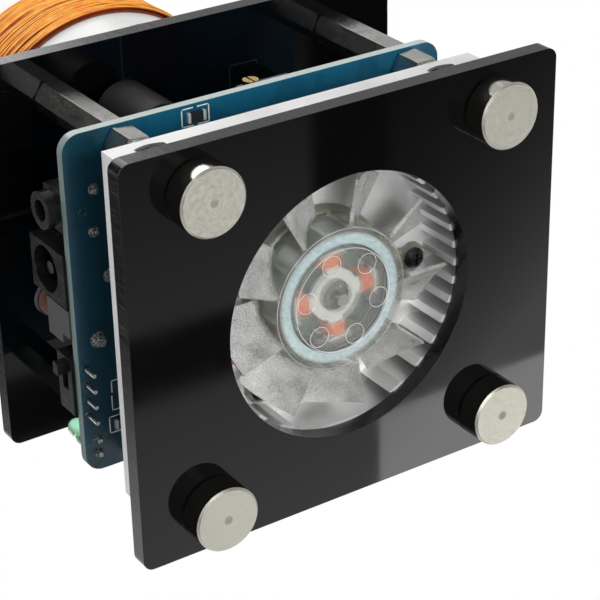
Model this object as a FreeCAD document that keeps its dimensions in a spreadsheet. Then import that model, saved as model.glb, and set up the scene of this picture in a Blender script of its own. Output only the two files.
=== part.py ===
import FreeCAD, Part

import math
import os
import re

import Sketcher
from FreeCAD import Placement, Rotation, Vector

# Desktop resonant transformer: a fan-cooled driver stack on four feet, with a wound tube on its
# top plate. X runs along the long side of the plates, the jacks face -X, and +Z is up. The origin
# is on the floor, in the middle of the feet. Lengths are in millimetres, turns in degrees.

SIZES = {
    # Plates of clear-cut acrylic
    "plate_margin_x": 12.5,
    "plate_margin_y": 7.2,
    "plate_thickness": 3.0,
    "plate_corner_radius": 1.8,
    "post_pitch": 53.0,
    "fan_opening_radius": 22.2,
    # Feet and the studs that run up from them
    "foot_radius": 5.44,
    "foot_height": 4.6,
    "foot_edge": 0.35,
    "foot_dimple_radius": 0.7,
    "foot_dimple_depth": 0.25,
    "foot_floor": 1.2,
    "stud_radius": 1.5,
    "thread_gap": 0.05,
    "hole_gap": 0.2,
    "stud_engagement": 3.0,
    # Heat sink
    "sink_margin_x": 7.075,
    "sink_margin_y": 2.925,
    "sink_offset": 0.5,
    "sink_height": 13.5,
    "sink_chamfer": 0.5,
    "fan_cavity_radius": 21.8,
    "fan_cavity_depth": 8.5,
    "fin_pitch": 3.2,
    "fin_thickness": 1.2,
    "corner_pocket_radius": 3.5,
    "corner_pocket_extra": 2.1,
    "corner_pocket_tip": 2.1,
    # Hexagonal standoffs
    "hex_across_flats": 5.3,
    "hex_chamfer": 0.45,
    "lower_standoff_length": 6.0,
    "upper_standoff_length": 20.8,
    "standoff_turn": 4.2,
    # Driver board
    "board_margin_x": 8.1,
    "board_margin_y": 2.575,
    "board_thickness": 1.6,
    "board_corner_radius": 3.0,
    "board_shift_x": 1.7,
    "board_shift_y": 0.5,
    # Screws in the top plate and under the coil
    "screw_head_radius": 2.75,
    "screw_head_height": 1.9,
    "screw_edge": 0.5,
    "screw_recess_width": 0.8,
    "screw_recess_depth": 1.0,
    # Fan impeller
    "hub_radius": 12.0,
    "hub_wall": 1.0,
    "hub_front": 7.2,
    "hub_face": 1.0,
    "hub_depth": 6.3,
    "hub_boss_radius": 1.9,
    "hub_mark_radius": 1.7,
    "hub_mark_depth": 0.15,
    "hub_mark_circle": 6.8,
    "hub_mark_turn": 12.0,
    "blade_tip_radius": 19.9,
    "blade_front": 7.2,
    "blade_height": 6.2,
    "blade_thickness": 0.7,
    "blade_camber": 0.7,
    "blade_root_turn": 47.0,
    "blade_tip_turn": 34.0,
    "first_blade_turn": 11.0,
    # Fan motor
    "shaft_radius": 1.0,
    "bush_wall": 0.9,
    "bush_gap": 0.03,
    "bush_front": 9.5,
    "fit_gap": 0.05,
    "yoke_thickness": 0.5,
    "yoke_face_radius": 9.0,
    "magnet_inner_radius": 9.3,
    "stator_radius": 8.7,
    "stator_turn": -4.0,
    "core_front": 10.3,
    "core_height": 2.1,
    "core_ring_radius": 4.4,
    "pole_width": 1.8,
    "shoe_thickness": 0.9,
    "shoe_width": 8.0,
    "insulator_thickness": 0.4,
    "insulator_rim": 1.0,
    "fan_coil_radius": 2.15,
    "fan_coil_inset": 0.35,
    "circuit_radius": 9.5,
    "circuit_thickness": 0.8,
    # Fan base on the floor of the cavity
    "fan_base_radius": 12.8,
    "fan_base_thickness": 1.0,
    "fan_base_rim": 0.8,
    "fan_base_rim_height": 1.0,
    "fan_holder_wall": 0.7,
    "fan_screw_circle": 19.3,
    "fan_screw_turn": 4.0,
    "fan_ear_radius": 2.4,
    "fan_arm_width": 3.6,
    "fan_screw_radius": 0.8,
    "fan_screw_head_radius": 1.75,
    "fan_screw_head_height": 1.0,
    "fan_screw_length": 4.0,
    # Fan leads
    "lead_radius": 0.45,
    "lead_spacing": 1.2,
    "lead_bend": 1.6,
    "lead_circle": 20.0,
    "lead_turn": 152.8,
    "lead_hole_radius": 1.4,
    # Parts on the board
    "pin_radius": 0.35,
    "pin_gap": 0.1,
    "joint_radius": 0.95,
    "joint_height": 0.9,
    "audio_y": 16.6,
    "audio_axis_height": 3.2,
    "audio_length": 12.0,
    "audio_width": 6.6,
    "audio_height": 5.6,
    "audio_barrel_radius": 3.0,
    "audio_barrel_reach": 2.0,
    "audio_bore_radius": 1.8,
    "audio_bore_depth": 11.0,
    "audio_tab_thickness": 0.3,
    "audio_tab_width": 1.6,
    "dc_overhang": 0.5,
    "dc_y": 5.1,
    "dc_width": 9.0,
    "dc_height": 11.0,
    "dc_flange": 3.4,
    "dc_length": 14.2,
    "dc_rear_height": 8.4,
    "dc_axis_height": 6.2,
    "dc_bore_radius": 3.9,
    "dc_bore_depth": 9.4,
    "dc_pin_radius": 1.05,
    "dc_pin_inset": 0.8,
    "dc_pin_shoulder": 0.3,
    "dc_contact_thickness": 0.3,
    "dc_contact_width": 2.6,
    "dc_contact_length": 6.2,
    "lamp_inset": 2.3,
    "lamp_y": 24.2,
    "lamp_radius": 1.5,
    "lamp_flange_radius": 1.75,
    "lamp_flange_height": 0.9,
    "lamp_lift": 1.8,
    "lamp_height": 5.3,
    "lamp_leg_spacing": 2.54,
    "lamp_leg_width": 0.5,
    "switch_overhang": 0.6,
    "switch_depth": 4.2,
    "switch_start": 8.4,
    "switch_length": 10.0,
    "switch_height": 4.6,
    "switch_wall": 0.6,
    "switch_slot_height": 1.8,
    "switch_travel": 3.0,
    "slide_gap": 0.15,
    "lever_reach": 1.6,
    "lever_width": 2.0,
    "lever_base_width": 4.4,
    "lever_base_depth": 1.6,
    "switch_pin_inset": 1.6,
    "switch_pin_first": 1.2,
    "switch_pin_pitch": 2.83,
    "switch_pin_drop": 3.1,
    "choke_inset": 2.9,
    "choke_y": 3.2,
    "choke_base_width": 6.4,
    "choke_base_height": 7.2,
    "choke_recess": 1.6,
    "choke_core_radius": 1.8,
    "choke_flange_radius": 3.1,
    "choke_flange_height": 0.8,
    "choke_winding_radius": 2.9,
    "choke_winding_height": 4.0,
    "can_inset": 20.0,
    "can_edge_gap": 6.175,
    "can_radius": 5.0,
    "can_height": 16.0,
    "can_groove": 0.45,
    "can_groove_height": 1.8,
    "can_sleeve": 0.2,
    "can_lip": 0.9,
    "can_seal_height": 0.8,
    "can_lead_spacing": 5.0,
    "trimmer_inset": 1.975,
    "trimmer_start": 2.0,
    "trimmer_length": 9.5,
    "trimmer_depth": 10.0,
    "trimmer_height": 4.8,
    "trimmer_screw_x": 0.5,
    "trimmer_screw_lift": 2.8,
    "trimmer_screw_radius": 1.3,
    "trimmer_shank_radius": 0.9,
    "trimmer_screw_reach": 1.4,
    "trimmer_shank_length": 3.0,
    "trimmer_slot_width": 0.4,
    "trimmer_slot_depth": 0.6,
    "film_x": 22.0,
    "film_y": 9.0,
    "film_length": 10.4,
    "film_width": 5.0,
    "film_height": 11.0,
    "film_foot": 0.5,
    "film_lead_spacing": 7.5,
    "chip_length": 3.2,
    "chip_width": 1.6,
    "chip_height": 0.6,
    "chip_end": 0.5,
    "first_chip_inset": 23.0,
    "first_chip_edge": 2.1,
    "second_chip_inset": 7.0,
    "second_chip_edge": 7.4,
    # Power transistor on the back of the heat sink
    "power_x": 9.0,
    "power_y": 9.0,
    "power_pad_thickness": 0.3,
    "power_tab_thickness": 1.3,
    "power_width": 10.0,
    "power_tab_length": 15.2,
    "power_hole_inset": 2.8,
    "power_body_length": 9.0,
    "power_body_height": 4.3,
    "power_leg_pitch": 2.54,
    "power_leg_width": 0.8,
    "power_leg_thickness": 0.5,
    "power_leg_lift": 2.2,
    "power_leg_run": 3.0,
    "power_screw_depth": 3.0,
    # Coil tube and its windings
    "tube_radius": 25.0,
    "tube_wall": 2.5,
    "tube_height": 55.5,
    "base_ring_width": 6.0,
    "base_ring_height": 5.0,
    "base_screw_inset": 3.0,
    "base_screw_grip": 4.0,
    "winding_gap": 0.15,
    "winding_start": 29.4,
    "winding_pitch": 1.24,
    "winding_wire": 0.8,
    "winding_bend": 1.4,
    "primary_gap": 0.3,
    "primary_lift": 1.6,
    "primary_pitch": 2.6,
    "primary_wire": 2.0,
    "primary_bend": 2.6,
    "inner_run_gap": 3.5,
    "cap_rim": 2.4,
    "cap_plug": 4.0,
    "cap_edge": 0.6,
    "needle_radius": 1.5,
    "needle_length": 14.0,
    "needle_point": 8.0,
    "needle_tip_radius": 0.2,
    "needle_foot": 6.0,
    "needle_nut_height": 2.4,
    "overrun": 1.0,
}

BLADE_COUNT = 9
FAN_EARS = 3
HUB_MARKS = 6
POLES = 4
SECONDARY_TURNS = 13
PRIMARY_TURNS = 4
SECONDARY_ANGLE = -20.0
PRIMARY_ANGLE = 90.0

doc = FreeCAD.newDocument("resonant_transformer")
sheet = doc.addObject("Spreadsheet::Sheet", "sizes")
for row, (word, number) in enumerate(SIZES.items(), 1):
    sheet.set(f"A{row}", word)
    sheet.set(f"B{row}", str(number))
    sheet.setAlias(f"B{row}", word)
doc.recompute()

# Heights that several pieces share, as formulas over the sheet
PLATE_TOP = "(foot_height + plate_thickness)"
SINK_TOP = f"({PLATE_TOP} + sink_height)"
CAVITY_FLOOR = f"({PLATE_TOP} + fan_cavity_depth)"
BOARD_UNDER = f"({SINK_TOP} + lower_standoff_length)"
BOARD_TOP = f"({BOARD_UNDER} + board_thickness)"
DECK_UNDER = f"({BOARD_TOP} + upper_standoff_length)"
DECK_TOP = f"({DECK_UNDER} + plate_thickness)"
TUBE_TOP = f"({DECK_TOP} + tube_height)"
TUBE_BORE = "(tube_radius - tube_wall)"
BASE_SCREW_CIRCLE = f"({TUBE_BORE} - base_screw_inset)"
INNER_RUN = f"({TUBE_BORE} - base_ring_width - inner_run_gap)"
HALF_PITCH = "(post_pitch / 2)"
PLATE_LENGTH = "(post_pitch + 2 * plate_margin_x)"
PLATE_WIDTH = "(post_pitch + 2 * plate_margin_y)"
SINK_LENGTH = "(post_pitch + 2 * sink_margin_x)"
SINK_WIDTH = "(post_pitch + 2 * sink_margin_y)"
BOARD_LENGTH = "(post_pitch + 2 * board_margin_x)"
BOARD_WIDTH = "(post_pitch + 2 * board_margin_y)"
BOARD_FRONT = f"({BOARD_LENGTH} / 2 + board_shift_x)"
BOARD_SIDE = f"({BOARD_WIDTH} / 2 + board_shift_y)"
DC_FRONT = f"({BOARD_FRONT} + dc_overhang)"
SWITCH_FRONT = f"({BOARD_FRONT} + switch_overhang)"
LAMP_X = f"({BOARD_FRONT} - lamp_inset)"
CHOKE_X = f"({BOARD_FRONT} - choke_inset)"
CAN_X = f"({BOARD_FRONT} - can_inset)"
CAN_Y = f"({BOARD_SIDE} - can_edge_gap)"
TRIMMER_FRONT = f"({BOARD_SIDE} - trimmer_inset)"
BUSH_RADIUS = "(shaft_radius + bush_wall)"
HOLDER_RADIUS = f"({BUSH_RADIUS} + fan_holder_wall)"
CORE_BORE = f"({HOLDER_RADIUS} + fit_gap)"
CORE_BACK = "(core_front + core_height)"
BASE_FRONT = f"({CAVITY_FLOOR} - fan_base_thickness)"
YOKE_RADIUS = "(hub_radius - hub_wall - fit_gap)"
YOKE_FRONT = "(hub_front + hub_face + fit_gap)"
HUB_BACK = "(hub_front + hub_depth)"


def in_sheet(formula):
    """Write a formula of plain words as one over the cells of the sheet."""
    return re.sub(r"[a-z][a-z_]*", lambda m: f"sizes.{m.group()}" if m.group() in SIZES
                  else m.group(), formula)


def value(formula):
    """The number that a formula gives with the sizes now in the sheet."""
    return float(sheet.evalExpression(in_sheet(formula)))


def bind(item, **formulas):
    """Tie properties of an object to formulas."""
    for prop, formula in formulas.items():
        item.setExpression(prop, in_sheet(formula))
    return item


def at(item, x="0", y="0", z="0"):
    """Place an object by three formulas."""
    for axis, formula in zip("xyz", (x, y, z)):
        item.setExpression(f".Placement.Base.{axis}", in_sheet(formula))
    return item


def box(name, x, y, z, length, width, height):
    """A box from its lowest corner and its three sides."""
    item = doc.addObject("Part::Box", name)
    bind(item, Length=length, Width=width, Height=height)
    return at(item, x, y, z)


def centred_box(name, x, y, z, length, width, height):
    """A box whose foot is centred on x, y."""
    return box(name, f"{x} - ({length}) / 2", f"{y} - ({width}) / 2", z, length, width, height)


def cylinder(name, radius, height, x="0", y="0", z="0", axis=Vector(0, 0, 1)):
    """A cylinder that starts at a place and runs along an axis."""
    item = doc.addObject("Part::Cylinder", name)
    item.Placement = Placement(Vector(), Rotation(Vector(0, 0, 1), axis))
    bind(item, Radius=radius, Height=height)
    return at(item, x, y, z)


def cone(name, foot_radius, top_radius, height, x="0", y="0", z="0", axis=Vector(0, 0, 1)):
    """A cone or frustum that starts at a place and runs along an axis."""
    item = doc.addObject("Part::Cone", name)
    item.Placement = Placement(Vector(), Rotation(Vector(0, 0, 1), axis))
    bind(item, Radius1=foot_radius, Radius2=top_radius, Height=height)
    return at(item, x, y, z)


def group(name, pieces):
    """Several separate solids as one object."""
    item = doc.addObject("Part::Compound", name)
    item.Links = pieces
    return item


def cut(name, base, *tools):
    """Take tools away from a base, one after another."""
    for number, tool in enumerate(tools):
        last = number == len(tools) - 1
        item = doc.addObject("Part::Cut", name if last else f"{name}_cut_{number}")
        item.Base = base
        item.Tool = tool
        base = item
    return base


def fuse(name, *pieces):
    """Join overlapping pieces into one."""
    item = doc.addObject("Part::MultiFuse", name)
    item.Shapes = pieces
    item.Refine = True
    return item


def common(name, first, second):
    """What two pieces share."""
    item = doc.addObject("Part::Common", name)
    item.Base = first
    item.Tool = second
    return item


def mirrored(name, piece, normal):
    """The mirror image of a piece across a plane through the origin."""
    item = doc.addObject("Part::Mirroring", name)
    item.Source = piece
    item.Base = Vector(0, 0, 0)
    item.Normal = normal
    return item


def four_corners(name, piece):
    """A piece in one corner and its images in the other three."""
    pair = group(f"{name}_pair", [piece, mirrored(f"{name}_x", piece, Vector(1, 0, 0))])
    return group(name, [pair, mirrored(f"{name}_y", pair, Vector(0, 1, 0))])


def turned(name, piece, angle):
    """A linked copy of a piece, turned about the fan's axis."""
    item = doc.addObject("App::Link", name)
    item.LinkedObject = piece
    item.LinkTransform = True
    item.Placement = Placement(Vector(), Rotation(Vector(0, 0, 1), angle))
    return item


def around(name, piece, count, first_word=None):
    """Copies of a piece in even steps about the fan's axis."""
    copies = []
    for number in range(count):
        copy = turned(f"{name}_{number}", piece, number * 360 / count)
        if first_word:
            step = f"{first_word} + {number} * 360 / {count}"
            copy.setExpression(".Placement.Rotation.Angle", in_sheet(step))
        copies.append(copy)
    return copies


def body_plane(body, role):
    """One of a body's own origin planes."""
    return next(item for item in body.Origin.OriginFeatures if item.Role == role)


def sketch_on(body, role, offset="0"):
    """A sketch on an origin plane, moved along its normal."""
    sketch = body.newObject("Sketcher::SketchObject", f"{body.Name}_sketch")
    sketch.AttachmentSupport = (body_plane(body, role), [""])
    sketch.MapMode = "FlatFace"
    sketch.setExpression(".AttachmentOffset.Base.z", in_sheet(offset))
    return sketch


def draw_outline(sketch, points):
    """A closed outline of straight sides whose corners are formulas."""
    count = len(points)
    first = sketch.GeometryCount
    rough = [Vector(math.cos(2 * math.pi * i / count), math.sin(2 * math.pi * i / count), 0)
             for i in range(count)]
    sketch.addGeometry([Part.LineSegment(rough[i], rough[(i + 1) % count])
                        for i in range(count)], False)
    for i in range(count):
        sketch.addConstraint(Sketcher.Constraint("Coincident", first + i, 2,
                                                 first + (i + 1) % count, 1))
    for i, corner in enumerate(points):
        for kind, formula, start in zip(("DistanceX", "DistanceY"), corner, rough[i]):
            number = sketch.addConstraint(Sketcher.Constraint(kind, -1, 1, first + i, 1, start))
            sketch.setExpression(f"Constraints[{number}]", in_sheet(formula))


def revolved(name, points):
    """A turned piece from half of its section: pairs of radius and height."""
    body = doc.addObject("PartDesign::Body", name)
    sketch = sketch_on(body, "XZ_Plane")
    draw_outline(sketch, points)
    turn = body.newObject("PartDesign::Revolution", f"{name}_turn")
    turn.Profile = sketch
    turn.ReferenceAxis = (sketch, ["V_Axis"])
    turn.Angle = 360
    return body


def extruded(name, role, points, start, length):
    """A padded outline on an origin plane of its own body."""
    body = doc.addObject("PartDesign::Body", name)
    sketch = sketch_on(body, role, start)
    draw_outline(sketch, points)
    pad = body.newObject("PartDesign::Pad", f"{name}_pad")
    pad.Profile = sketch
    bind(pad, Length=length)
    return body


def rectangle(half_x, half_y, x="0", y="0"):
    """The corners of a centred rectangle."""
    return [(f"{x} - {half_x}", f"{y} - {half_y}"), (f"{x} + {half_x}", f"{y} - {half_y}"),
            (f"{x} + {half_x}", f"{y} + {half_y}"), (f"{x} - {half_x}", f"{y} + {half_y}")]


def upright_edges(shape):
    """The names of a shape's vertical straight edges."""
    return [f"Edge{i}" for i, edge in enumerate(shape.Edges, 1)
            if abs(edge.tangentAt(edge.FirstParameter).z) > 0.999]


def round_corners(body, radius):
    """Round the vertical edges of a padded plate."""
    doc.recompute()
    pad = body.Tip
    fillet = body.newObject("PartDesign::Fillet", f"{body.Name}_corners")
    fillet.Base = (pad, upright_edges(pad.Shape))
    bind(fillet, Radius=radius)
    body.Tip = fillet
    return body


def chamfer_top(body, size):
    """Break the edges of a body's highest face."""
    doc.recompute()
    pad = body.Tip
    lid = max(pad.Shape.Faces, key=lambda face: face.CenterOfMass.z)
    names = [f"Edge{i}" for i, edge in enumerate(pad.Shape.Edges, 1)
             if any(edge.isSame(other) for other in lid.Edges)]
    chamfer = body.newObject("PartDesign::Chamfer", f"{body.Name}_edges")
    chamfer.Base = (pad, names)
    bind(chamfer, Size=size)
    body.Tip = chamfer
    return body


def in_corner(piece, z="0"):
    """Set a piece on the axis of the first corner post."""
    return at(piece, f"-{HALF_PITCH}", f"-{HALF_PITCH}", z)


def arc_path(points, radius):
    """A wire of straight runs whose corners are arcs of one radius."""
    edges = []
    here = points[0]
    for before, corner, after in zip(points, points[1:], points[2:]):
        into = (corner - before).normalize()
        out = (after - corner).normalize()
        reach = radius * math.tan(into.getAngle(out) / 2)
        start = corner - into * reach
        end = corner + out * reach
        inward = (out - into).normalize()
        centre = corner + inward * (radius / math.cos(into.getAngle(out) / 2))
        edges.append(Part.LineSegment(here, start).toShape())
        edges.append(Part.Arc(start, centre - inward * radius, end).toShape())
        here = end
    edges.append(Part.LineSegment(here, points[-1]).toShape())
    return Part.Wire(edges)


def tube_along(path, radius):
    """A round solid swept along a wire."""
    first = path.OrderedEdges[0]
    start = first.valueAt(first.FirstParameter)
    ring = Part.Wire(Part.Circle(start, first.tangentAt(first.FirstParameter), radius).toShape())
    return path.makePipeShell([ring], True, False)


def free_form(name, shape):
    """A piece whose shape is worked out here from the sheet."""
    item = doc.addObject("Part::Feature", name)
    item.Shape = shape
    item.Placement = Placement()
    return item


# Plates, feet and the corner posts

def plate(name, z, holes):
    """A rounded acrylic plate with its holes."""
    body = extruded(f"{name}_sheet", "XY_Plane", rectangle(f"{PLATE_LENGTH} / 2", f"{PLATE_WIDTH} / 2"),
                    z, "plate_thickness")
    return cut(name, round_corners(body, "plate_corner_radius"), *holes)


def corner_holes(name, radius, z, height):
    """Four holes on the axes of the corner posts."""
    hole = cylinder(f"{name}_hole", radius, f"{height} + 2 * overrun")
    return four_corners(name, in_corner(hole, f"{z} - overrun"))


def make_bottom_plate():
    fan_hole = cylinder("fan_opening", "fan_opening_radius", "plate_thickness + 2 * overrun",
                        z="foot_height - overrun")
    studs = corner_holes("bottom_plate_holes", "stud_radius + hole_gap", "foot_height",
                         "plate_thickness")
    return plate("bottom_plate", "foot_height", [fan_hole, studs])


def make_top_plate():
    screws = corner_holes("top_plate_holes", "stud_radius + hole_gap", DECK_UNDER,
                          "plate_thickness")
    drops = [cylinder(f"lead_way_{i}", f"{wire} / 2 + hole_gap", "plate_thickness + 2 * overrun",
                      *lead_place(wire, bend, angle, side), f"{DECK_UNDER} - overrun")
             for i, (wire, bend, angle, side) in enumerate(LEAD_DROPS)]
    grip = cylinder("base_screw_way", "stud_radius + hole_gap", "plate_thickness + 2 * overrun",
                    BASE_SCREW_CIRCLE, "0", f"{DECK_UNDER} - overrun")
    return plate("top_plate", DECK_UNDER, [screws, group("lead_ways", drops),
                                           group("base_screw_ways", around("grip_way", grip, 3))])


def make_feet():
    foot = revolved("foot", [
        ("0", "foot_dimple_depth"), ("foot_dimple_radius", "0"), ("foot_radius - foot_edge", "0"),
        ("foot_radius", "foot_edge"), ("foot_radius", "foot_height - foot_edge"),
        ("foot_radius - foot_edge", "foot_height"), ("stud_radius + thread_gap", "foot_height"),
        ("stud_radius + thread_gap", "foot_floor"), ("0", "foot_floor")])
    return four_corners("feet", in_corner(foot))


def make_corner_studs():
    stud = cylinder("stud", "stud_radius", f"{SINK_TOP} + stud_engagement - foot_floor")
    return four_corners("corner_studs", in_corner(stud, "foot_floor"))


def hex_post(name, length, bore):
    """A hexagonal post with chamfered ends and a bore from below."""
    across = "hex_across_flats / cos(30)"
    prism = doc.addObject("Part::Prism", f"{name}_hex")
    prism.Polygon = 6
    prism.Placement = Placement(Vector(), Rotation(Vector(0, 0, 1), 0))
    bind(prism, Circumradius=f"{across} / 2", Height=length)
    prism.setExpression(".Placement.Rotation.Angle", in_sheet("standoff_turn"))
    turned_end = revolved(f"{name}_turning", [
        ("0", "0"), ("hex_across_flats / 2 - hex_chamfer / 4", "0"),
        (f"{across} / 2", "hex_chamfer"), (f"{across} / 2", f"{length} - hex_chamfer"),
        ("hex_across_flats / 2 - hex_chamfer / 4", length), ("0", length)])
    return cut(f"{name}_post", common(f"{name}_stock", prism, turned_end), bore)


def make_lower_standoffs():
    bore = cylinder("lower_bore", "stud_radius + thread_gap", "lower_standoff_length + 2 * overrun",
                    z="-overrun")
    return four_corners("lower_standoffs",
                        in_corner(hex_post("lower", "lower_standoff_length", bore), SINK_TOP))


def make_upper_standoffs():
    depth = "screw_head_height + upper_standoff_length / 3"
    bore = cylinder("upper_bore", "stud_radius + thread_gap", f"{depth} + overrun",
                    z=f"upper_standoff_length - ({depth})")
    post = hex_post("upper", "upper_standoff_length", bore)
    reach = "(lower_standoff_length - stud_engagement - hole_gap + board_thickness)"
    male = cylinder("upper_male", "stud_radius", reach, z=f"-{reach}")
    return four_corners("upper_standoffs", in_corner(fuse("upper_with_stud", post, male),
                                                     BOARD_TOP))


def pan_head(name, length, down=True):
    """A pan head screw with a cross recess, its seat at height zero, its shank below."""
    profile = [("0", "0 - length_here"), ("stud_radius - screw_edge", "0 - length_here"),
               ("stud_radius", "screw_edge - length_here"), ("stud_radius", "0"),
               ("screw_head_radius", "0"), ("screw_head_radius", "screw_head_height / 2"),
               ("screw_head_radius - screw_edge", "screw_head_height"),
               ("0", "screw_head_height")]
    points = [(x, y.replace("length_here", f"({length})")) for x, y in profile]
    if not down:
        points = [(x, f"-({y})") for x, y in points]
    blank = revolved(f"{name}_blank", points)
    lift = "screw_head_height - screw_recess_depth" if down else "-screw_head_height - overrun"
    span = "screw_head_radius * 1.2"
    height = "screw_recess_depth + overrun"
    slots = fuse(f"{name}_recess",
                 centred_box(f"{name}_slot_a", "0", "0", lift, span, "screw_recess_width", height),
                 centred_box(f"{name}_slot_b", "0", "0", lift, "screw_recess_width", span, height))
    return cut(name, blank, slots)


def make_top_screws():
    screw = pan_head("top_screw", "plate_thickness + upper_standoff_length / 3")
    return four_corners("top_screws", in_corner(screw, DECK_TOP))


# Heat sink

def make_heat_sink():
    z = PLATE_TOP
    blank = extruded("sink_blank", "XY_Plane",
                     rectangle(f"{SINK_LENGTH} / 2", f"{SINK_WIDTH} / 2", "sink_offset",
                               "sink_offset"),
                     z, "sink_height")
    chamfer_top(blank, "sink_chamfer")
    side = int(value(f"{SINK_WIDTH} / 2 - sink_offset") // value("fin_pitch"))
    grooves = [centred_box(f"groove_{i + side}", "sink_offset", f"fin_pitch * ({i} + 0.5)",
                           f"{z} - overrun", f"{SINK_LENGTH} + 2 * overrun",
                           "fin_pitch - fin_thickness", "fan_cavity_depth + overrun")
               for i in range(-side, side)]
    cavity = cylinder("sink_cavity", "fan_cavity_radius", "fan_cavity_depth + overrun",
                      z=f"{z} - overrun")
    pocket_depth = "fan_cavity_depth + corner_pocket_extra + overrun"
    pocket = revolved("sink_pocket", [
        ("0", "0"), ("corner_pocket_radius", "0"), ("corner_pocket_radius", pocket_depth),
        ("0", f"{pocket_depth} + corner_pocket_tip")])
    pockets = four_corners("sink_pockets", in_corner(pocket, f"{z} - overrun"))
    studs = corner_holes("sink_holes", "stud_radius + hole_gap", z, "sink_height")
    lead_way = cylinder("sink_lead_way", "lead_hole_radius", "sink_height + 2 * overrun",
                        "lead_circle * cos(lead_turn)", "lead_circle * sin(lead_turn)",
                        f"{z} - overrun")
    power_hole = cylinder("sink_power_hole", "stud_radius + thread_gap",
                          "power_screw_depth + hole_gap + overrun", "power_x", "-power_y",
                          f"{SINK_TOP} - power_screw_depth - hole_gap")
    ear_hole = cylinder("sink_ear_hole", "fan_screw_radius + thread_gap",
                        "fan_screw_length + overrun", "fan_screw_circle", "0",
                        f"{CAVITY_FLOOR} - overrun")
    ear_holes = group("sink_ear_holes",
                      around("sink_ear_hole", ear_hole, FAN_EARS, "fan_screw_turn"))
    return cut("heat_sink", blank, group("sink_grooves", grooves), cavity, pockets, studs,
               lead_way, power_hole, ear_holes)


# Fan

def blade_section(radius, turn, thickness_share):
    """A thin cambered section square to the blade's length, in sizes of the blade."""
    height = value("blade_height")
    chord = height / math.sin(math.radians(turn))
    thick = value("blade_thickness") * thickness_share
    camber = value("blade_camber")
    along = Vector(0, math.cos(math.radians(turn)), math.sin(math.radians(turn)))
    across = Vector(0, -math.sin(math.radians(turn)), math.cos(math.radians(turn)))
    middle = Vector(radius, 0, value("blade_front") + height / 2)

    def spot(run, rise):
        return middle + along * run + across * rise

    half = chord / 2
    face = Part.Arc(spot(-half, thick / 2), spot(0, camber + thick / 2), spot(half, thick / 2))
    back = Part.Arc(spot(half, -thick / 2), spot(0, camber - thick / 2), spot(-half, -thick / 2))
    lead = Part.LineSegment(spot(half, thick / 2), spot(half, -thick / 2))
    tail = Part.LineSegment(spot(-half, -thick / 2), spot(-half, thick / 2))
    return Part.Wire([face.toShape(), lead.toShape(), back.toShape(), tail.toShape()])


def make_fan_impeller():
    inside = "(hub_radius - hub_wall)"
    shaft_hole = "shaft_radius + fit_gap / 2"
    hub = revolved("hub", [
        (shaft_hole, "hub_front"), ("hub_radius - hub_wall / 2", "hub_front"),
        ("hub_radius", "hub_front + hub_wall / 2"), ("hub_radius", HUB_BACK),
        (inside, HUB_BACK), (inside, "hub_front + hub_face"),
        ("hub_boss_radius", "hub_front + hub_face"), ("hub_boss_radius", "hub_front + 2 * hub_face"),
        (shaft_hole, "hub_front + 2 * hub_face")])
    mark = cylinder("hub_mark", "hub_mark_radius", "hub_mark_depth + overrun",
                    "hub_mark_circle", "0", "hub_front - overrun")
    marks = group("hub_marks", around("hub_mark", mark, HUB_MARKS, "hub_mark_turn"))
    root = value("hub_radius - hub_wall / 2")
    tip = value("blade_tip_radius + overrun")
    sections = [blade_section(root, value("blade_root_turn"), 1.0),
                blade_section(tip, value("blade_tip_turn"), 0.8)]
    blade = free_form("blade", Part.makeLoft(sections, True, True))
    bound = cylinder("blade_bound", "blade_tip_radius", "blade_height + 2 * overrun",
                     z="blade_front - overrun")
    trimmed = common("trimmed_blade", blade, bound)
    blades = around("blade_copy", trimmed, BLADE_COUNT, "first_blade_turn")
    return fuse("fan_impeller", cut("marked_hub", hub, marks), *blades)


def make_fan_shaft():
    return cylinder("fan_shaft", "shaft_radius", f"{BASE_FRONT} - hub_front - fit_gap",
                    z="hub_front")


def make_rotor_yoke():
    inner = f"({YOKE_RADIUS} - yoke_thickness)"
    return revolved("rotor_yoke", [
        ("yoke_face_radius", YOKE_FRONT), (YOKE_RADIUS, YOKE_FRONT), (YOKE_RADIUS, HUB_BACK),
        (inner, HUB_BACK), (inner, f"{YOKE_FRONT} + yoke_thickness"),
        ("yoke_face_radius", f"{YOKE_FRONT} + yoke_thickness")])


def make_rotor_magnet():
    outer = f"({YOKE_RADIUS} - yoke_thickness - fit_gap)"
    front = f"{YOKE_FRONT} + yoke_thickness + fit_gap"
    return revolved("rotor_magnet", [
        ("magnet_inner_radius", front), (outer, front), (outer, f"{HUB_BACK} - fit_gap"),
        ("magnet_inner_radius", f"{HUB_BACK} - fit_gap")])


def cross_boxes(name, width, reach, z, height):
    """Two crossing bars about the fan's axis."""
    return [centred_box(f"{name}_x", "0", "0", z, f"2 * ({reach})", width, height),
            centred_box(f"{name}_y", "0", "0", z, width, f"2 * ({reach})", height)]


def ring_piece(name, inner, outer, z, height):
    """A flat ring about the fan's axis."""
    return cut(name, cylinder(f"{name}_outer", outer, height, z=z),
               cylinder(f"{name}_inner", inner, f"{height} + 2 * overrun", z=f"{z} - overrun"))


def turn_stator(item):
    """Turn a finished stator piece to its place about the fan's axis."""
    item.Placement = Placement(Vector(), Rotation(Vector(0, 0, 1), 0))
    item.setExpression(".Placement.Rotation.Angle", in_sheet("stator_turn"))
    return item


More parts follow.
